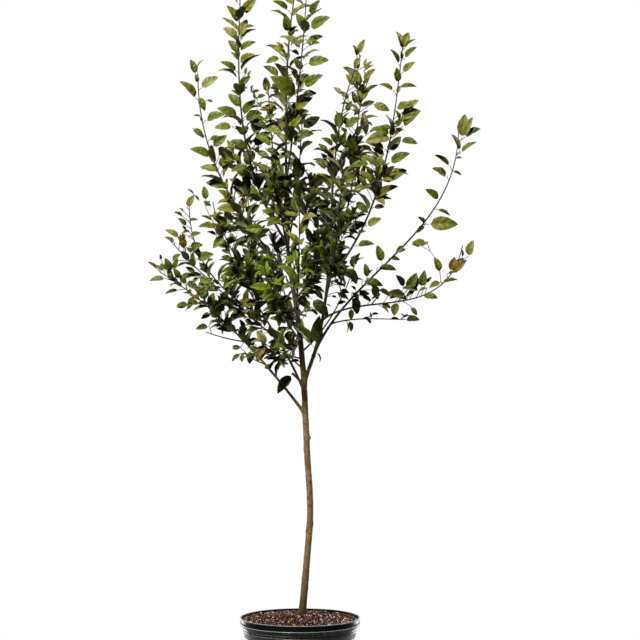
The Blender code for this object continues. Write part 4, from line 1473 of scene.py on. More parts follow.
def blade_row(blade, point, angle, k, number):
    """The points across a blade: left edge, left half, rib, right half, right edge, the rib's underside."""
    t = k / BLADE_STEPS
    fold = math.radians(blade.fold)
    along = Vector((0, math.cos(angle), math.sin(angle)))
    normal = Quaternion(along, math.radians(blade.twist) * t) @ Vector((0, -along.z, along.y))
    side = along.cross(normal)
    # A blade is widest a little before its middle and comes to a point
    wide = blade.width / 2 * math.sin(math.pi * t**0.80) ** 0.78 * (1.05 - 0.22 * t)
    tooth = TOOTH if k % 2 else -TOOTH * 0.5
    wave = blade.wave * math.sin(k * 2.1 + number)
    quilt = QUILT * (1 if k % 2 else -1)
    left, right = [], []
    for sign, half in ((-1, left), (1, right)):
        edge = point + side * (sign * wide * (1 + tooth) * math.cos(fold))
        edge += normal * (wide * math.sin(fold) * 0.72 + wave * sign)
        inner = point + side * (sign * wide * BLADE_HALF * math.cos(fold * 1.25))
        inner += normal * (wide * BLADE_HALF * math.sin(fold * 1.25) + quilt + wave * sign * 0.4)
        half += [edge, inner]
    return left + [point] + right[::-1] + [point - normal * BLADE_THICKNESS]


def blade_mesh(blade, number):
    """One leaf on its stalk, 1 long in +Y with its upper side in +Z.

    It is a thin closed blade with a toothed outline, folded along its midrib, bent over and twisted. The
    midrib runs on from the stalk.
    """
    line, heading = blade_line(blade)
    verts, rows = [], []
    for k, (point, angle) in enumerate(zip(line, heading)):
        row = [point] if k in (0, BLADE_STEPS) else blade_row(blade, point, angle, k, number)
        rows.append([len(verts)] * 6 if len(row) == 1 else list(range(len(verts), len(verts) + 6)))
        verts += row
    faces, finish = [], []

    def add(corners, kind):
        kept = [c for i, c in enumerate(corners) if c not in corners[:i]]
        if len(kept) > 2:
            faces.append(kept)
            finish.append(kind)

    for low, high in zip(rows, rows[1:]):
        for a, b in zip(range(4), range(1, 5)):
            add((low[a], low[b], high[b], high[a]), UPPER_SIDE)
        add((low[0], high[0], high[5], low[5]), UNDERSIDE)
        add((low[5], high[5], high[4], low[4]), UNDERSIDE)
    # Stalk and midrib: a three-sided tapering rod
    path = [Vector((0, 0, -0.012)), Vector((0, PETIOLE * 0.5, 0.004))]
    path += [line[k] for k in range(0, BLADE_STEPS + 1, 2) if k / BLADE_STEPS < RIB_END]
    rings = []
    for i, (before, point, after) in enumerate(zip(path[:1] + path, path, path[1:] + path[-1:])):
        thick = RIB_RADIUS * (1 - RIB_TAPER * i / (len(path) - 1))
        side = Vector((1, 0, 0))
        normal = side.cross((after - before).normalized())
        rings.append(range(len(verts), len(verts) + 3))
        for angle in map(math.radians, (90, 210, 330)):
            verts.append(point + (side * math.cos(angle) + normal * math.sin(angle)) * thick)
    for low, high in zip(rings, rings[1:]):
        for face in wall(low, high):
            add(face, STALK)
    add(rings[0][::-1], STALK)
    add(rings[-1], STALK)
    mesh = mesh_of(f"blade_{number}", verts, faces)
    store(mesh, "finish", "INT", finish, "FACE")
    # The leaf's own map: across from -1 to 1, and along from 0 to 1
    spots = [(0.0, 0.0)] * len(verts)
    for k, row in enumerate(rows):
        for corner, across in zip(row, (-1, -BLADE_HALF, 0, BLADE_HALF, 1, 0)):
            spots[corner] = (float(across), k / BLADE_STEPS)
    own_map = mesh.uv_layers.new(name="blade")
    for loop in mesh.loops:
        own_map.uv[loop.index].vector = spots[loop.vertex_index]
    # The outline and the midrib stay sharp
    lines = [{row[place] for row in rows} for place in (0, 2, 4)]
    sharp = mesh.attributes.new("sharp_edge", "BOOLEAN", "EDGE")
    for edge in mesh.edges:
        sharp.data[edge.index].value = any(set(edge.vertices) <= line for line in lines)
    return mesh


def bud_mesh():
    """A pointed bud, 1 long in +Y."""
    sides = 6
    verts = []
    for along, radius in ((0.0, 0.16), (0.30, 0.27), (0.68, 0.19)):
        for angle in shares(0, math.tau, sides)[:-1]:
            verts.append(Vector((radius * math.cos(angle), along, radius * math.sin(angle))))
    rings = [range(first, first + sides) for first in range(0, len(verts), sides)]
    faces = wall(*rings[:2]) + wall(*rings[1:])
    faces += [(rings[2][k], rings[2][(k + 1) % sides], len(verts)) for k in range(sides)]
    faces.append(tuple(rings[0][::-1]))
    mesh = outward(mesh_of("bud", verts + [Vector((0, 1, 0.04))], faces))
    store(mesh, "finish", "INT", [STALK] * len(mesh.polygons), "FACE")
    return mesh


def collection_of(name, meshes):
    """A collection of unlinked shapes for instancing or cutting."""
    group = bpy.data.collections.new(name)
    for number, mesh in enumerate(meshes):
        mesh.shade_smooth()
        group.objects.link(bpy.data.objects.new(f"{name}_{number:02d}", mesh))
    return group


def drop_collection(group):
    for obj in list(group.objects):
        data = obj.data
        bpy.data.objects.remove(obj)
        bpy.data.meshes.remove(data)
    bpy.data.collections.remove(group)


def points_object(name, leaves):
    """One point for each leaf, with its turn, size and shape."""
    mesh = bpy.data.meshes.new(name)
    mesh.from_pydata([tuple(leaf.root) for leaf in leaves], [], [])
    turns = []
    for leaf in leaves:
        side = leaf.way.cross(leaf.upper).normalized()
        upper = side.cross(leaf.way)
        turns.append(Matrix((side, leaf.way, upper)).transposed().to_euler()[:])
    store(mesh, "turn", "FLOAT_VECTOR", turns)
    store(mesh, "size", "FLOAT", [leaf.size for leaf in leaves])
    store(mesh, "shape", "INT", [leaf.shape for leaf in leaves])
    return object_of(name, mesh, smooth=False)


# Leaves that the photo shows one by one: the limb that carries each, the height where it leaves it, the way
# it points, its upper side, its size, its shape and its tint
OwnLeaf = namedtuple("OwnLeaf", "limb height way upper size shape tint")
# A deep tint on a leaf here is partly painted shade where the leaf lies in shadow
OWN_LEAVES = (
    OwnLeaf("right_inner", 1.104, (-0.66, -0.15, 0.74), (0.5, -0.65, 0.6), 1.22, 2, "deep"),
    OwnLeaf("right_inner", 1.110, (0.10, -0.30, 0.94), (-0.2, -0.95, -0.1), 1.05, 5, "deep"),
    OwnLeaf("right_inner", 1.100, (0.42, -0.25, -0.87), (0.8, -0.4, 0.3), 0.42, 1, "deep"),
    OwnLeaf("left_low", 1.075, (-0.55, -0.35, 0.10), (0.0, -0.5, 0.85), 0.62, 3, "deep"),
    OwnLeaf("left_low", 1.040, (-0.20, -0.60, 0.30), (-0.5, -0.5, 0.7), 0.45, 6, "green"),
    OwnLeaf("left_middle", 1.090, (0.35, -0.60, 0.20), (0.2, -0.5, 0.8), 0.50, 2, "deep"),
    OwnLeaf("left_middle", 1.120, (-0.50, -0.55, 0.05), (0.0, -0.6, 0.8), 0.55, 0, "deep"),
    OwnLeaf("trunk", 1.105, (-0.62, -0.45, 0.15), (0.1, -0.6, 0.8), 0.62, 0, "green"),
    OwnLeaf("trunk", 1.068, (-0.72, -0.35, -0.05), (0.1, -0.6, 0.8), 0.42, 6, "deep"),
    OwnLeaf("trunk", 1.150, (-0.45, -0.62, -0.25), (-0.2, -0.8, 0.5), 0.60, 2, "deep"),
    OwnLeaf("right_level", 1.190, (0.10, -0.15, -0.98), (0.98, 0.1, 0.1), 0.42, 7, "deep"),
)
STUB_LEAF = ((-0.62, -0.12, -0.77), (-0.35, -0.92, 0.1), 0.84, 2, "deep")
STUB_LEAF_INSET = 0.002
# How far from the middle of its limb such a leaf is rooted, as a share of the limb's radius
OWN_LEAF_SEAT = 0.7

# Leaves that stand clear of the others, by tint: where each springs and where it ends, sideways and up in
# millimetres as seen from the front on the trunk's plane, and how broad it shows, from 0 to 10
SeenLeaf = namedtuple("SeenLeaf", "x z tip_x tip_z broad")
SEEN_LEAVES = {
    "olive": (
        (-33, 1695, -66, 1671, 6), (198, 1201, 213, 1180, 7),
        (183, 1839, 171, 1875, 5), (186, 1800, 198, 1746, 7), (381, 1422, 336, 1422, 7),
        (318, 1263, 261, 1272, 6), (360, 1279, 306, 1287, 5),
        (-408, 1338, -434, 1356, 6), (-341, 1458, -353, 1474, 6), (-173, 1092, -173, 1068, 7),
        (-20, 1105, -50, 1108, 7), (169, 1880, 187, 1849, 5), (166, 1853, 187, 1831, 6),
        (287, 1744, 298, 1767, 6), (171, 1941, 178, 1968, 7), (292, 1905, 281, 1934, 7),
        (289, 1869, 301, 1894, 7), (-62, 1826, -122, 1821, 6), (-105, 1768, -55, 1754, 6),
        (486, 1734, 495, 1809, 8), (441, 1620, 396, 1646, 5), (420, 1551, 375, 1583, 6),
        (381, 1478, 474, 1478, 8), (312, 1413, 287, 1392, 10), (312, 1272, 267, 1254, 5),
        (420, 1308, 387, 1287, 6), (291, 1247, 282, 1203, 10), (363, 1413, 386, 1425, 6),
        (198, 1473, 245, 1496, 6), (222, 1551, 276, 1553, 4), (243, 1602, 321, 1640, 6),
        (297, 1794, 363, 1818, 6), (282, 1878, 237, 1898, 4), (297, 1887, 351, 1890, 5),
        (306, 1932, 345, 1965, 5), (309, 2001, 326, 2054, 9), (300, 1788, 285, 1821, 5),
        (147, 1848, 120, 1878, 5), (216, 1584, 183, 1587, 4), (189, 1905, 227, 1944, 5),
        (192, 1938, 218, 1968, 5), (216, 1839, 269, 1818, 7), (165, 1515, 114, 1491, 7),
        (171, 1980, 158, 2016, 3), (180, 1980, 164, 1943, 7), (162, 1890, 138, 1929, 6),
        (-171, 2109, -129, 2157, 8), (-180, 2082, -221, 2135, 5), (-180, 2040, -158, 2093, 8),
        (-183, 1962, -135, 1988, 6), (-164, 1926, -159, 1949, 6), (-156, 1920, -147, 1940, 6),
        (-201, 1770, -256, 1767, 7), (-306, 1902, -315, 1929, 8), (-309, 1854, -362, 1907, 4),
        (-243, 1647, -210, 1691, 9), (-243, 1680, -228, 1707, 5), (-243, 1638, -300, 1650, 5),
        (-180, 1665, -204, 1692, 6), (-48, 2001, -72, 2024, 5), (-30, 2001, -51, 2024, 5),
        (18, 2034, 33, 2013, 8), (-18, 1821, 39, 1860, 8), (3, 1707, 39, 1725, 5), (81, 1677, 111, 1713, 9),
        (-243, 1296, -264, 1311, 7), (-339, 1527, -318, 1566, 8), (-360, 1437, -405, 1461, 4),
        (-180, 1524, -250, 1524, 6), (-204, 1545, -246, 1581, 5), (-183, 1497, -207, 1512, 5),
        (-102, 1119, -129, 1065, 9), (-276, 1236, -234, 1245, 8), (-195, 1158, -252, 1164, 3),
        (-192, 1242, -126, 1236, 5), (422, 1332, 402, 1380, 6),
    ),
    "green": (
        (-132, 1698, -90, 1671, 6), (-87, 1689, -60, 1650, 6), (-18, 1680, -27, 1642, 5),
        (108, 1303, 134, 1293, 5), (185, 1266, 212, 1246, 6), (174, 1881, 159, 1905, 6),
        (273, 1749, 213, 1764, 6),
        (286, 1243, 280, 1206, 9), (318, 1279, 354, 1324, 7), (231, 1347, 290, 1340, 4),
        (276, 1275, 321, 1252, 5), (321, 1278, 351, 1333, 10), (363, 1287, 375, 1341, 10),
        (423, 1302, 474, 1311, 4), (240, 1236, 273, 1227, 5), (441, 1329, 473, 1334, 4),
        (486, 1377, 482, 1407, 3), (210, 1191, 189, 1197, 9), (-314, 1328, -343, 1350, 6),
        (-398, 1340, -420, 1360, 7), (-322, 1393, -343, 1409, 7), (-304, 1238, -334, 1250, 7),
        (-334, 1236, -370, 1236, 6), (-302, 1320, -324, 1301, 6), (-286, 1530, -269, 1548, 7),
        (-205, 1172, -232, 1188, 6), (158, 1838, 140, 1825, 7), (182, 1804, 207, 1818, 5),
        (142, 1751, 122, 1769, 8), (205, 1751, 236, 1762, 4), (278, 1762, 243, 1773, 5),
        (131, 1764, 181, 1797, 5), (119, 1281, 148, 1272, 6), (162, 1265, 173, 1209, 8),
        (173, 1268, 209, 1268, 4), (216, 1295, 234, 1252, 8), (234, 1281, 268, 1272, 5),
        (-176, 1893, -165, 1875, 6), (-147, 1875, -143, 1889, 8), (-138, 1875, -122, 1880, 6),
        (-136, 1859, -127, 1851, 7), (-127, 1855, -104, 1866, 6), (-136, 1840, -140, 1853, 8),
        (-127, 1844, -116, 1831, 7), (-129, 1833, -105, 1844, 6), (-73, 1811, -109, 1790, 6),
        (480, 1695, 453, 1749, 4), (451, 1650, 403, 1686, 4), (375, 1476, 351, 1452, 6),
        (246, 1362, 231, 1415, 9), (201, 1317, 194, 1361, 7), (186, 1308, 249, 1293, 4),
        (153, 1227, 153, 1191, 9), (237, 1281, 273, 1260, 4), (336, 1278, 357, 1317, 8),
        (381, 1287, 359, 1278, 3), (366, 1266, 414, 1256, 5), (332, 1232, 351, 1205, 10),
        (363, 1413, 335, 1418, 6), (318, 1193, 360, 1190, 4), (135, 1350, 170, 1298, 5),
        (168, 1413, 224, 1418, 4), (225, 1566, 240, 1620, 10), (267, 1662, 330, 1691, 7),
        (267, 1695, 303, 1742, 9), (258, 1701, 195, 1724, 4), (306, 1770, 360, 1815, 4),
        (285, 1827, 341, 1833, 5), (297, 1956, 270, 2004, 4), (312, 1974, 351, 2010, 4),
        (147, 1764, 183, 1797, 5), (249, 1641, 183, 1683, 5), (213, 1659, 150, 1650, 5),
        (165, 1548, 204, 1512, 10), (183, 1827, 225, 1845, 5), (174, 1620, 120, 1605, 8),
        (150, 1560, 114, 1539, 8), (156, 1494, 138, 1473, 8), (-165, 2070, -138, 2072, 6),
        (-184, 1989, -215, 2030, 6), (-184, 1998, -131, 2025, 5), (-188, 1935, -240, 1965, 5),
        (-180, 1827, -215, 1868, 8), (-183, 1797, -249, 1827, 6), (-172, 1809, -132, 1851, 8),
        (-141, 1710, -90, 1755, 8), (-114, 1767, -51, 1758, 6), (-312, 1926, -329, 1973, 6),
        (-303, 1863, -285, 1818, 9), (-285, 1788, -225, 1806, 4), (-324, 1767, -288, 1736, 6),
        (-264, 1710, -219, 1745, 9), (-264, 1680, -332, 1704, 5), (-33, 2118, -83, 2148, 5),
        (-36, 2052, -45, 2111, 9), (-57, 1977, -102, 1962, 6), (-60, 1920, -111, 1953, 5),
        (-12, 1860, -90, 1922, 7), (-27, 2001, -3, 1985, 5), (18, 2058, -12, 2111, 8),
        (27, 2064, 90, 2100, 6), (12, 2037, -9, 2010, 6), (18, 2022, 69, 2042, 4), (30, 2016, 60, 2022, 4),
        (18, 1959, 87, 1971, 6), (9, 1890, 69, 1926, 8), (102, 1713, 63, 1737, 5), (81, 1641, 45, 1668, 5),
        (-402, 1315, -452, 1308, 3), (-378, 1341, -366, 1377, 8), (-384, 1368, -357, 1389, 5),
        (-360, 1314, -381, 1347, 8), (-360, 1320, -318, 1326, 8), (-363, 1281, -405, 1269, 5),
        (-336, 1236, -371, 1230, 8), (-315, 1266, -336, 1224, 10), (-306, 1317, -261, 1302, 8),
        (-312, 1374, -258, 1389, 8), (-327, 1395, -297, 1419, 7), (-333, 1443, -297, 1452, 5),
        (-282, 1548, -288, 1593, 9), (-339, 1473, -366, 1497, 6), (-249, 1467, -305, 1470, 3),
        (-213, 1476, -264, 1502, 8), (-150, 1440, -186, 1416, 8), (-192, 1335, -240, 1314, 4),
        (-156, 1485, -195, 1476, 6), (-216, 1590, -283, 1603, 6), (-171, 1092, -174, 1065, 7),
    ),
    # Leaves in the deep tint, partly painted shade where they lie in shadow
    "deep": (
        (-105, 1705, -60, 1683, 6), (-60, 1692, -24, 1671, 5),
        (34, 1256, 85, 1199, 6), (42, 1284, 68, 1252, 6), (30, 1226, 53, 1205, 5),
        (112, 1275, 146, 1250, 5), (168, 1836, 156, 1878, 6), (288, 1767, 315, 1800, 4),
        (-343, 1295, -361, 1328, 7), (-302, 1360, -281, 1340, 7), (-176, 1111, -203, 1105, 10),
        (-132, 1117, -165, 1132, 10), (-141, 1096, -153, 1060, 10), (-179, 1090, -203, 1067, 5),
        (-44, 1081, -67, 1061, 8), (-23, 1149, -23, 1120, 9), (-235, 1180, -262, 1190, 5),
        (-180, 1165, -200, 1150, 5), (176, 1822, 162, 1804, 6), (105, 1297, 135, 1297, 5),
        (94, 1263, 110, 1258, 5), (79, 1239, 92, 1230, 4), (110, 1240, 139, 1245, 6),
        (110, 1274, 137, 1256, 6), (-165, 1801, -113, 1810, 6), (-147, 1790, -105, 1764, 6),
        (492, 1737, 543, 1764, 2), (468, 1677, 486, 1677, 4), (453, 1638, 484, 1624, 3),
        (409, 1523, 451, 1502, 4), (378, 1479, 354, 1500, 5), (318, 1404, 297, 1392, 4),
        (267, 1377, 300, 1371, 4), (201, 1320, 219, 1343, 4), (162, 1254, 170, 1208, 9),
        (171, 1272, 210, 1268, 4), (168, 1281, 153, 1293, 6), (189, 1263, 213, 1248, 3),
        (240, 1269, 213, 1296, 6), (240, 1266, 216, 1254, 5), (315, 1290, 287, 1326, 6),
        (378, 1302, 396, 1320, 5), (345, 1281, 318, 1260, 5), (240, 1233, 266, 1211, 2),
        (213, 1197, 209, 1215, 3), (213, 1206, 237, 1209, 3), (306, 1197, 329, 1205, 3),
        (312, 1200, 302, 1211, 3), (270, 1197, 297, 1194, 2), (147, 1188, 152, 1155, 3),
        (219, 1527, 254, 1530, 5), (300, 1731, 353, 1719, 5), (294, 1902, 290, 1949, 10),
        (312, 2004, 348, 2033, 2), (303, 1971, 302, 1998, 4), (279, 1740, 273, 1779, 8),
        (150, 1776, 114, 1800, 7), (138, 1815, 156, 1848, 8), (153, 1824, 177, 1803, 4),
        (156, 1668, 150, 1752, 10), (216, 1710, 252, 1683, 6), (183, 1704, 216, 1701, 4),
        (216, 1620, 198, 1653, 9), (225, 1653, 240, 1626, 7), (198, 1590, 177, 1623, 7),
        (171, 1485, 150, 1443, 10), (198, 1458, 171, 1452, 5), (191, 1896, 207, 1919, 4),
        (191, 1863, 237, 1896, 3), (198, 1785, 218, 1773, 4), (120, 1713, 138, 1755, 9),
        (156, 1560, 120, 1590, 9), (-183, 2028, -198, 2049, 8), (-186, 1971, -196, 1986, 9),
        (-178, 1893, -150, 1923, 9), (-181, 1860, -207, 1880, 4), (-165, 1749, -195, 1773, 7),
        (-153, 1701, -209, 1728, 6), (-168, 1791, -114, 1812, 8), (-147, 1788, -96, 1767, 6),
        (-147, 1881, -141, 1896, 6), (-144, 1875, -120, 1880, 5), (-141, 1869, -135, 1851, 6),
        (-126, 1860, -105, 1866, 5), (-177, 1884, -156, 1887, 5), (-279, 1851, -261, 1845, 6),
        (-291, 1785, -300, 1800, 6), (-273, 1731, -237, 1737, 4), (-234, 1638, -207, 1677, 6),
        (-36, 1998, -39, 1965, 10), (-27, 2055, -9, 2073, 7), (30, 2103, 60, 2151, 6),
        (9, 1938, -18, 1977, 10), (0, 1911, -27, 1938, 8), (3, 1866, 50, 1871, 6), (3, 1764, 60, 1800, 7),
        (-15, 1743, 42, 1749, 6), (84, 1686, 54, 1719, 4), (81, 1668, 63, 1692, 8),
        (-417, 1371, -420, 1389, 7), (-384, 1335, -405, 1377, 10), (-339, 1362, -369, 1350, 4),
        (-279, 1290, -297, 1254, 9), (-342, 1308, -303, 1281, 9), (-309, 1284, -261, 1317, 8),
        (-303, 1362, -279, 1338, 7), (-333, 1413, -291, 1416, 9), (-336, 1488, -306, 1491, 3),
        (-318, 1566, -303, 1548, 3), (-318, 1566, -339, 1584, 2), (-288, 1548, -267, 1533, 9),
        (-351, 1500, -378, 1514, 2), (-348, 1515, -363, 1527, 2), (-354, 1452, -330, 1457, 3),
        (-375, 1422, -407, 1440, 2), (-333, 1365, -357, 1398, 8), (-264, 1485, -297, 1503, 3),
        (-189, 1443, -222, 1416, 9), (-207, 1377, -237, 1380, 7), (-204, 1374, -162, 1344, 8),
        (-213, 1320, -213, 1284, 10), (-162, 1311, -186, 1311, 6), (-210, 1278, -237, 1257, 6),
        (-207, 1263, -180, 1278, 9), (-150, 1365, -144, 1401, 8), (-252, 1503, -228, 1512, 2),
        (-252, 1446, -279, 1455, 2), (-273, 1173, -313, 1163, 6), (-177, 1107, -204, 1113, 10),
        (-138, 1116, -165, 1140, 10), (-150, 1101, -151, 1058, 10), (-180, 1089, -204, 1066, 3),
        (-159, 1224, -210, 1197, 8), (-267, 1212, -297, 1194, 8), (-225, 1215, -255, 1248, 8),
        (-165, 1197, -141, 1173, 9),
    ),
    "fresh": (
        (-30, 1767, 6, 1800, 9), (-228, 1446, -261, 1406, 9), (-105, 1467, -165, 1464, 10),
    ),
    "pale": (
        (126, 1867, 100, 1888, 6), (193, 1938, 222, 1956, 5), (193, 1950, 200, 1975, 6),
        (-44, 1811, -22, 1837, 5), (492, 1737, 519, 1800, 5), (480, 1692, 531, 1725, 5),
        (504, 1380, 521, 1431, 6), (276, 1740, 195, 1725, 6), (306, 1812, 357, 1851, 5),
        (309, 2001, 288, 2057, 4), (189, 1758, 189, 1815, 7), (186, 1884, 129, 1950, 3),
        (177, 1989, 195, 2033, 5), (177, 1989, 171, 2016, 3), (-186, 2037, -231, 2067, 8),
        (-102, 1872, -104, 1920, 8), (-99, 1872, -87, 1896, 6), (-309, 1947, -288, 1971, 1),
        (-300, 1884, -245, 1920, 7), (-24, 2106, -3, 2130, 8), (-36, 1797, 27, 1818, 5),
    ),
    "bronze": (
        (282, 1743, 312, 1764, 5), (453, 1332, 500, 1371, 7),
        (-343, 1403, -367, 1442, 6), (-347, 1426, -355, 1454, 5), (-298, 1246, -334, 1267, 5),
        (-106, 1117, -132, 1070, 7), (156, 1275, 177, 1254, 9), (450, 1335, 465, 1380, 10),
        (456, 1338, 501, 1371, 4), (456, 1335, 492, 1377, 3), (282, 1761, 312, 1761, 3),
        (-297, 1800, -321, 1804, 5), (-426, 1341, -458, 1365, 3), (-345, 1404, -360, 1449, 9),
    ),
}
# Fine twigs that show on their own, seen in the same way, each from the wood nearest to its first point
SEEN_TWIGS = (
    ((423, 1303), (420, 1332), (408, 1374), (390, 1398), (363, 1413)),
    ((-226, 1408), (-249, 1440), (-258, 1479), (-277, 1516), (-289, 1548)),
    ((-51, 1821), (-78, 1851), (-102, 1872)),
    ((-129, 1821), (-129, 1851), (-141, 1887)),
)
SEEN_TWIG_RADIUS = 0.0013
SEEN_TWIG_TIP_RADIUS = 0.0009
SEEN_TWIG_CUTS = 8
# The points along a line of wood from which the nearest is picked
SEEN_SAMPLES = 240
# How much a leaf's tip leans towards the camera or away, as a share of its length
SEEN_LEAN = (-0.45, 0.25)
# How far a leaf that shows edge on is turned to the camera, in degrees, and how much more with each step of
# broadness
SEEN_SLIMMEST = 37
SEEN_BROADENING = 5.0
# A leaf that shows broader than this has one of the broad shapes
SEEN_SLIM = 5
# Within this a leaf springs from the wood itself, and otherwise a twiglet carries it
SEEN_REACH = 0.0040
TWIGLET_ARCH = 0.0015
TWIGLET_RADII = (0.0012, 0.0011, 0.0010)
# A limb wins over one behind it that shows nearer by this share of the depth between them
SEEN_FRONT = 0.03


def at_depth(x, z, depth):
    """The point at a depth that the camera sees where (x, z), in millimetres, lies in the trunk's plane."""
    eye = Vector(CAMERA_PLACE)
    away = (depth - eye.y) / -eye.y
    return Vector((eye.x + (x / 1000 - eye.x) * away, depth, eye.z + (z / 1000 - eye.z) * away))


def nearest_wood(lines, x, z):
    """The line of wood that shows nearest to (x, z), in millimetres, and the number of its nearest point."""
    eye = np.array(CAMERA_PLACE)
    seen = np.array((x / 1000, 0, z / 1000))
    best = None
    for line in lines:
        points = np.array([point[:] for point in line])
        away = (-eye[1] / (points[:, 1] - eye[1]))[:, None]
        off = eye + (points - eye) * away - seen
        off = np.hypot(off[:, 0], off[:, 2]) + SEEN_FRONT * points[:, 1]
        k = int(off.argmin())
        if best is None or off[k] < best[0]:
            best = (off[k], line, k)
    return best[1:]


def springing(line, k, root):
    """Where a twiglet to `root` leaves a line: back from its nearest point, so that it leaves at a slant."""
    off = (root - line[k]).length
    start = k
    while start > 0 and (line[k] - line[start]).length < off:
        start -= 1
    return line[start]


@functools.lru_cache(maxsize=None)
def seen_growth(length):
    """The leaves of SEEN_LEAVES, and the fine twigs that carry those that stand off their limb."""
    rng = random.Random(SEED)
    lines = [axis.stations(0, 1, SEEN_SAMPLES)[0] for axis in all_axes().values()]
    leaves, shoots = [], []
    for run in SEEN_TWIGS:
        line, k = nearest_wood(lines, *run[0])
        twig = [line[k]] + [at_depth(x, z, line[k].y) for x, z in run]
        shoots.append(Shoot(twig, shares(SEEN_TWIG_RADIUS, SEEN_TWIG_TIP_RADIUS, len(twig) - 1)))
        lines.append([a.lerp(b, cut) for a, b in zip(twig, twig[1:]) for cut in shares(0, 1, SEEN_TWIG_CUTS)])
    for tint, rows in SEEN_LEAVES.items():
        for seen in (SeenLeaf(*row) for row in rows):
            line, k = nearest_wood(lines, seen.x, seen.z)
            root = at_depth(seen.x, seen.z, line[k].y)
            if (root - line[k]).length > SEEN_REACH:
                start = springing(line, k, root)
                shoots.append(Shoot([start, start.lerp(root, 0.5) + UP * TWIGLET_ARCH, root], TWIGLET_RADII))
            else:
                root = line[k]
            leaves.append(aimed_leaf(root, seen, length, tint, rng))
    return leaves, shoots


def aimed_leaf(root, seen, length, tint, rng):
    """A leaf from its root whose tip shows where SEEN_LEAVES puts it."""
    flat = at_depth(seen.tip_x, seen.tip_z, root.y) - root
    run = at_depth(seen.tip_x, seen.tip_z, root.y + flat.length * rng.uniform(*SEEN_LEAN)) - root
    shape = rng.choice(BROAD_BLADES if seen.broad > SEEN_SLIM else SLIM_BLADES)
    tip = blade_line(BLADES[shape])[0][-1]
    side = run.cross(Vector((0, 1, 0))).normalized()
    side = -side if side.z < 0 else side
    turn = math.radians(SEEN_SLIMMEST + SEEN_BROADENING * seen.broad)
    upper = side * math.cos(turn) + Vector((0, -math.sin(turn), 0))
    # The blade bends down, so the stalk starts out above the line to its tip
    across = run.cross(upper).normalized()
    way = Quaternion(across, -math.atan2(tip.z, tip.y)) @ run.normalized()
    return Leaf(root, way, across.cross(way), run.length / (tip.length * length), shape, tint_number(tint))


def tint_number(name):
    return [tint.name for tint in TINTS].index(name)


def own_leaves():
    """The leaves of OWN_LEAVES, and the one on the cut-back shoot."""
    made = []
    for own in OWN_LEAVES:
        axis = all_axes()[own.limb]
        share = axis.share_at(own.height)
        way = Vector(own.way).normalized()
        root = axis.place(share) + way * (axis.radius(share) * OWN_LEAF_SEAT)
        made.append(Leaf(root, way, Vector(own.upper), own.size, own.shape, tint_number(own.tint)))
    foot, _ = trunk_at(STUB_HEIGHT)
    way, upper, size, shape, tint = STUB_LEAF
    end = foot + STUB_WAY * (STUB_LENGTH - STUB_LEAF_INSET)
    made.append(Leaf(end, Vector(way).normalized(), Vector(upper), size, shape, tint_number(tint)))
    return made


def chip_meshes():
    """Broken flat chips, 1 long, with uneven outlines and faces."""
    rng = random.Random(SEED)
    made = []
    corners = 7
    for number in range(CHIP_SHAPES):
        wide, thick = rng.uniform(*CHIP_WIDTHS), rng.uniform(*CHIP_THICKNESSES)
        rim = []
        for k in range(corners):
            angle = math.tau * (k + rng.uniform(-0.25, 0.25)) / corners
            reach = rng.uniform(0.36, 0.52)
            rim.append(Vector((math.cos(angle) * reach, math.sin(angle) * reach * wide * 2, 0)))
        verts = [point + UP * (thick * rng.uniform(0.25, 0.55)) for point in rim]
        verts += [point * rng.uniform(0.80, 1.0) - UP * (thick * rng.uniform(0.25, 0.55)) for point in rim]
        top, low = len(verts), len(verts) + 1
        verts += [Vector((0.05, 0, thick * 0.7)), Vector((0, 0, -thick * 0.6))]
        faces = []
        for k, n in enumerate([*range(1, corners), 0]):
            faces += [(k, n, top), (k + corners, low, n + corners), (k, k + corners, n + corners, n)]
        made.append(outward(mesh_of(f"chip_{number}", verts, faces)))
    return made


def soil_height(radius):
    """Height of the soil's surface at a distance from the middle."""
    inner = POT_HEIGHT + SOIL_MOUND_RISE
    shoulder = POT_HEIGHT - SOIL_SHOULDER_DROP
    edge_radius = RIM_RADIUS - RIM_DRAFT - POT_WALL - SEAT
    if radius < SOIL_MOUND_RADIUS:
        return inner
    if radius < SOIL_SHOULDER_RADIUS:
        t = (radius - SOIL_MOUND_RADIUS) / (SOIL_SHOULDER_RADIUS - SOIL_MOUND_RADIUS)
        return inner + (shoulder - inner) * t
    t = (radius - SOIL_SHOULDER_RADIUS) / (edge_radius - SOIL_SHOULDER_RADIUS)
    return shoulder + (POT_HEIGHT - SOIL_EDGE_DROP + SOIL_PILED - shoulder) * min(t, 1)


def pot_line(inset):
    """The pot's outer line from rim to base, moved in by `inset`."""
    rim_foot = POT_HEIGHT - RIM_HEIGHT
    collar_foot = rim_foot - STEP_HEIGHT - COLLAR_HEIGHT
    line = (
        (RIM_RADIUS, POT_HEIGHT),
        (RIM_RADIUS - RIM_DRAFT, rim_foot),
        (COLLAR_TOP_RADIUS, rim_foot - STEP_HEIGHT),
        (COLLAR_LOW_RADIUS, collar_foot),
        (WALL_TOP_RADIUS, collar_foot - STEP_HEIGHT),
        (BASE_RADIUS, 0),
    )
    return [(radius - inset, height) for radius, height in line]


def ribbed_line():
    """The pot's outer line from rim to base with its rolled lip, beads and grooves."""
    corners = zip(pot_line(0), POT_RIBS)
    return [(radius + out, height + up) for (radius, height), ribs in corners for out, up in ribs]


# Operators


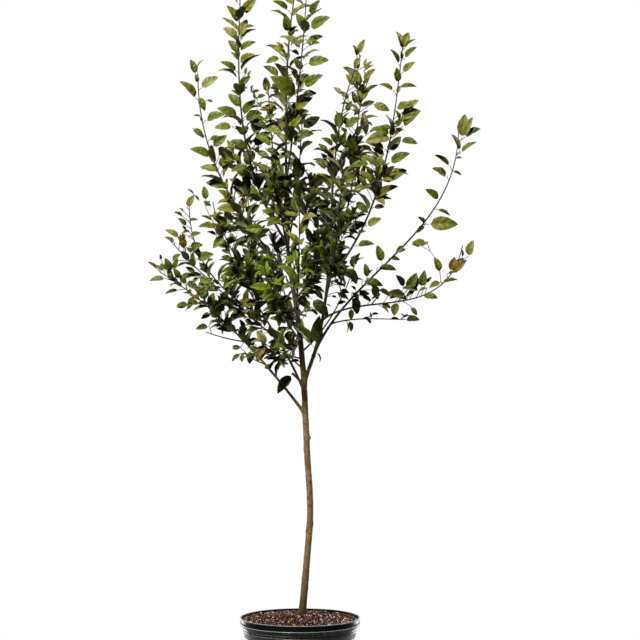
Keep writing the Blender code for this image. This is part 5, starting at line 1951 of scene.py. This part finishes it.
class APPLETREE_OT_pot(bpy.types.Operator):
    """Turns the moulded pot, rounds its edges and cuts its drain holes"""

    bl_idname = "appletree.pot"
    bl_label = "Nursery pot"

    def execute(self, context):
        settings = context.scene.apple_pot
        inner = pot_line(POT_WALL)[:-1] + [(BASE_RADIUS - POT_WALL, POT_FLOOR)]
        line = [(0, POT_FLOOR)] + inner[::-1] + ribbed_line() + [(0, 0)]
        mesh = turned("pot_shell", rounded(line, settings.edge_round), POT_SEGMENTS)
        pot = object_of("pot_shell", mesh, [pot_material(settings)])
        holes = collection_of("drain_hole", [self.drain_hole(k) for k in range(DRAIN_HOLES)])
        cut = pot.modifiers.new("Drain holes", "BOOLEAN")
        cut.operation = "DIFFERENCE"
        cut.operand_type = "COLLECTION"
        cut.collection = holes
        cut.solver = "EXACT"
        plain_mesh(pot)
        drop_collection(holes)
        pot.data.shade_smooth()
        pot.data.set_sharp_from_angle(angle=POT_SHARP)
        settle(pot, "black plastic", "pot")
        return {"FINISHED"}

    def drain_hole(self, k):
        """What is cut from the foot of the wall for one hole."""
        way = level_way(math.tau * (k + 0.5) / DRAIN_HOLES)
        bm = bmesh.new()
        size = {"radius1": DRAIN_RADIUS, "radius2": DRAIN_RADIUS, "depth": 2 * DRAIN_CUTTER_REACH}
        bmesh.ops.create_cone(bm, cap_ends=True, segments=DRAIN_SEGMENTS, **size)
        turn = way.to_track_quat("Z", "Y").to_matrix().to_4x4()
        bm.transform(Matrix.Translation(way * BASE_RADIUS + UP * DRAIN_CENTRE_HEIGHT) @ turn)
        return mesh_from(bm, "drain_hole")


class APPLETREE_OT_soil(bpy.types.Operator):
    """Fills the pot with crumbly soil and strews bark chips over it"""

    bl_idname = "appletree.soil"
    bl_label = "Soil and bark chips"

    def execute(self, context):
        settings = context.scene.apple_soil
        edge = pot_line(POT_WALL)[0][0] - 2 * SEAT
        bed = object_of("soil_bed", self.bed(edge), [soil_material(settings.soil)])
        settle(bed, "bark mulch", "soil")
        shapes = collection_of("bark_chip", chip_meshes())
        tree = chips_tree()
        for number, (kind, share) in enumerate(CHIP_KINDS):
            chips = object_of(f"bark_chips_{kind}", self.surface(edge - CHIP_MARGIN), smooth=False)
            values = {
                "Chips per square metre": settings.chips_per_square_metre * share,
                "Chip length": settings.chip_length,
                "Tilt": CHIP_TILT,
                "Seed": SEED + number,
                "Shapes": shapes,
                "Bark": chip_material(f"{kind} pine bark", getattr(settings, f"{kind}_chip")),
            }
            grown_by(chips, tree, values)
            settle(chips, "bark mulch", "soil")
        drop_collection(shapes)
        settle(self.splinter(), "bark mulch", "soil")
        return {"FINISHED"}

    def bed(self, edge):
        """The root ball, with a crumbly top that keeps off the pot's wall."""
        profile = [(radius, soil_height(radius)) for radius in shares(0, edge, SOIL_RINGS)]
        profile += [(radius - SEAT, height) for radius, height in pot_line(POT_WALL)[1:-1]]
        foot = POT_FLOOR + SEAT
        mesh = turned("soil_bed", profile + [(BASE_RADIUS - POT_WALL - SEAT, foot), (0, foot)], SOIL_SEGMENTS)
        rim = POT_HEIGHT - SOIL_EDGE_DROP - 0.001
        for vertex in mesh.vertices:
            if vertex.co.z > rim and math.hypot(vertex.co.x, vertex.co.y) < edge - 0.001:
                crumb = noise.fractal(vertex.co / SOIL_CRUMB_SIZE, 0.8, 2.1, 3)
                vertex.co.z += SOIL_CRUMB * (crumb - 0.6)
        return mesh

    def splinter(self):
        """A pale splinter of wood that leans on the chips near the rim."""
        foot, tip = (Vector(end) for end in SPLINTER_ENDS)
        cuts = shares(0, 1, 8)
        line = [foot.lerp(tip, cut) for cut in cuts]
        radii = [SPLINTER_RADIUS * (1 - 0.6 * abs(2 * cut - 1) ** 3) for cut in cuts]
        tube = bark_tube(line, radii, 7, 0.0003, lambda point, way, radius: -0.45 * radius * abs(way.y))
        skin = chip_material("split wood", linear("#cfc3b4"))
        return object_of("pale_splinter", mesh_of("pale_splinter", *tube), [skin])

    def surface(self, edge):
        """An open disc on the soil's surface, with room for the trunk in the middle."""
        bm = bmesh.new()
        stem = Vector((TRUNK_LINE[0].x, TRUNK_LINE[0].y, 0))
        rings = []
        for share in shares(0, 1, GROUND_RINGS):
            ring = []
            for k in range(GROUND_SEGMENTS):
                way = level_way(math.tau * k / GROUND_SEGMENTS)
                spot = (stem + way * STEM_ROOM).lerp(way * edge, share)
                ring.append(bm.verts.new((spot.x, spot.y, soil_height(spot.length) + CHIP_LIFT)))
            rings.append(ring)
        for low, high in zip(rings, rings[1:]):
            for k, n in enumerate([*range(1, GROUND_SEGMENTS), 0]):
                bm.faces.new((low[k], high[k], high[n], low[n]))
        return mesh_from(bm, "chip_ground")


class APPLETREE_OT_wood(bpy.types.Operator):
    """Builds the trunk and boughs with the relief of their bark"""

    bl_idname = "appletree.wood"
    bl_label = "Trunk and boughs"

    def execute(self, context):
        settings = context.scene.apple_wood
        bark = bark_material(settings)
        verts, faces = trunk_mesh(settings.relief)
        more, around_it = stub_shape(settings.relief)
        faces += moved_on(around_it, len(verts))
        trunk = object_of("trunk_bark", mesh_of("trunk_bark", verts + more, faces), [bark])
        settle(trunk, "bark", "trunk")
        boughs = object_of("bough_bark", mesh_of("bough_bark", *bough_shapes(settings.relief)), [bark])
        settle(boughs, "bark", *[f"bough_{limb.name}" for limb in LIMBS])
        settle(self.wax_dab(), "bark")
        return {"FINISHED"}

    def wax_dab(self):
        """A small dab of red wax on a cut just above the fork."""
        axis = all_axes()["right_inner"]
        share = axis.share_at(WAX_HEIGHT)
        centre = axis.place(share) + Vector((0.001, -axis.radius(share) * 0.75, 0))
        bm = bmesh.new()
        bmesh.ops.create_icosphere(bm, subdivisions=3, radius=1)
        for vertex in bm.verts:
            uneven = 1 + 0.15 * noise.noise(vertex.co * 2.3)
            vertex.co = centre + Vector([a * b for a, b in zip(vertex.co, WAX_REACH)]) * uneven
        return object_of("wax_dab", mesh_from(bm, "wax_dab"), [wax_material()])


class APPLETREE_OT_twigs(bpy.types.Operator):
    """Grows the side twigs, fine twigs and spurs on from the boughs"""

    bl_idname = "appletree.twigs"
    bl_label = "Twigs and spurs"

    def execute(self, context):
        masses = masses_now()
        points, edges, girths = [], [], []
        seen = seen_growth(round(context.scene.apple_leaves.length, 4))[1]
        for shoot in [shoot for mass in masses for shoot in mass.shoots] + seen:
            first = len(points)
            points += [tuple(point) for point in shoot.points]
            girths += shoot.radii
            edges += [(first + k, first + k + 1) for k in range(len(shoot.points) - 1)]
        mesh = bpy.data.meshes.new("twigs")
        mesh.from_pydata(points, edges, [])
        store(mesh, "girth", "FLOAT", girths)
        twigs = object_of("twigs", mesh, smooth=False)
        skin = shoot_material(context.scene.apple_wood)
        grown_by(twigs, shoots_tree(), {"Sides": 6, "Thickness": 1.0, "Skin": skin})
        settle(twigs, "bark", *[mass_node(mass.axis) for mass in masses])
        return {"FINISHED"}


class APPLETREE_OT_leaves(bpy.types.Operator):
    """Sets the leaves on the shoots, one piece for each tint, and a bud at each leaf's foot"""

    bl_idname = "appletree.leaves"
    bl_label = "Leaves and buds"

    def execute(self, context):
        settings = context.scene.apple_leaves
        masses = masses_now()
        stalk = stalk_material(settings.stalk)
        shapes = collection_of("blade", [blade_mesh(blade, number) for number, blade in enumerate(BLADES)])
        tree = scattered_tree()
        every = [leaf for mass in masses for leaf in mass.leaves] + own_leaves()
        every += seen_growth(round(settings.length, 4))[0]
        for number, tint in enumerate(TINTS):
            leaves = [leaf for leaf in every if leaf.tint == number]
            if not leaves:
                continue
            piece = points_object(f"leaves_{tint.name}", leaves)
            values = {
                "Shapes": shapes,
                "Length": settings.length,
                "Upper side": leaf_upper_material(f"{tint.name} leaf upper side", linear(tint.upper)),
                "Underside": leaf_under_material(f"{tint.name} leaf underside", linear(tint.under)),
                "Stalk": stalk,
            }
            grown_by(piece, tree, values)
            bearing = [mass for mass in masses if any(leaf.tint == number for leaf in mass.leaves)]
            settle(piece, "foliage", *[mass_node(mass.axis) for mass in bearing])
        drop_collection(shapes)
        self.buds(every, tree, shoot_material(context.scene.apple_wood))
        return {"FINISHED"}

    def buds(self, every, tree, skin):
        """A bud in the angle between each leaf and its shoot."""
        shapes = collection_of("bud", [bud_mesh()])
        axils = []
        for leaf in every:
            way = (leaf.way + leaf.upper.normalized() * BUD_LEANING).normalized()
            axils.append(Leaf(leaf.root, way, leaf.upper, 1.0, 0, 0))
        piece = points_object("buds", axils)
        grown_by(piece, tree, {"Shapes": shapes, "Length": BUD_LENGTH, "Stalk": skin})
        settle(piece, "bark")
        drop_collection(shapes)


class APPLETREE_OT_stage(bpy.types.Operator):
    """Sets up the floor, the white surround, the soft lights and the camera"""

    bl_idname = "appletree.stage"
    bl_label = "Studio"

    def execute(self, context):
        scene, settings = context.scene, context.scene.apple_stage
        bm = bmesh.new()
        bmesh.ops.create_circle(bm, cap_ends=True, segments=96, radius=FLOOR_RADIUS)
        mesh = mesh_from(bm, "studio_floor")
        floor = object_of("studio_floor", mesh, [floor_material(settings.floor)], smooth=False)
        self.surround(scene, settings.fill)
        for lamp in LAMPS:
            self.light(lamp, getattr(settings, lamp.setting))
        camera = bpy.data.objects.new("camera", bpy.data.cameras.new("camera"))
        camera.data.lens = CAMERA_LENS
        camera.data.sensor_width = SENSOR_WIDTH
        camera.location = CAMERA_PLACE
        camera.rotation_euler = (math.pi / 2, 0, 0)
        scene.collection.objects.link(camera)
        scene.camera = camera
        scene.view_settings.view_transform = "Standard"
        return {"FINISHED"}

    def surround(self, scene, fill):
        """A white surround, bright behind the tree and dim in front of it where the photographer stands."""
        world = bpy.data.worlds.new("white surround")
        world.use_nodes = True
        world.node_tree.nodes.clear()
        node = functools.partial(add_node, world.node_tree)
        way = node("ShaderNodeTexCoord", output="Generated")
        behind = node("ShaderNodeSeparateXYZ", (way,), "Y")
        strength = node("ShaderNodeMapRange", (behind, -0.3, 0.6, 0.16 * fill, fill))
        seen = node("ShaderNodeLightPath", output="Is Camera Ray")
        strength = node("ShaderNodeMix", {0: seen, 2: strength, 3: 1.0})
        shade = node("ShaderNodeBackground", {"Color": (1, 1, 1), "Strength": strength})
        node("ShaderNodeOutputWorld", (shade,))
        scene.world = world

    def light(self, lamp, power):
        data = bpy.data.lights.new(lamp.name, "AREA")
        data.shape = "DISK"
        data.size = lamp.size
        data.energy = power
        obj = bpy.data.objects.new(lamp.name, data)
        obj.location = lamp.place
        obj.rotation_euler = (Vector(lamp.place) - Vector(lamp.aim)).to_track_quat("Z", "Y").to_euler()
        obj.visible_camera = False
        bpy.context.scene.collection.objects.link(obj)


class APPLETREE_PT_panel(bpy.types.Panel):
    """Sizes and finishes of the potted apple tree"""

    bl_idname = "APPLETREE_PT_panel"
    bl_label = "Potted Apple Tree"
    bl_space_type = "VIEW_3D"
    bl_region_type = "UI"
    bl_category = "Apple Tree"

    def draw(self, context):
        for operator, group in STEPS:
            box = self.layout.box()
            box.operator(operator.bl_idname)
            if group:
                settings = getattr(context.scene, group)
                for name in settings.__annotations__:
                    box.prop(settings, name)


GROUPS = (
    ("apple_pot", AppleTreePot),
    ("apple_soil", AppleTreeSoil),
    ("apple_wood", AppleTreeWood),
    ("apple_leaves", AppleTreeLeaves),
    ("apple_stage", AppleTreeStage),
)
STEPS = (
    (APPLETREE_OT_pot, "apple_pot"),
    (APPLETREE_OT_soil, "apple_soil"),
    (APPLETREE_OT_wood, "apple_wood"),
    (APPLETREE_OT_twigs, None),
    (APPLETREE_OT_leaves, "apple_leaves"),
    (APPLETREE_OT_stage, "apple_stage"),
)


def register():
    for name, group in GROUPS:
        bpy.utils.register_class(group)
        setattr(bpy.types.Scene, name, PointerProperty(type=group))
    for operator, _ in STEPS:
        bpy.utils.register_class(operator)
    bpy.utils.register_class(APPLETREE_PT_panel)


def unregister():
    bpy.utils.unregister_class(APPLETREE_PT_panel)
    for operator, _ in reversed(STEPS):
        bpy.utils.unregister_class(operator)
    for name, group in reversed(GROUPS):
        delattr(bpy.types.Scene, name)
        bpy.utils.unregister_class(group)


def main():
    register()
    bpy.ops.appletree.pot()
    bpy.ops.appletree.soil()
    bpy.ops.appletree.wood()
    bpy.ops.appletree.twigs()
    bpy.ops.appletree.leaves()
    bpy.ops.appletree.stage()


if __name__ == "__main__":
    main()
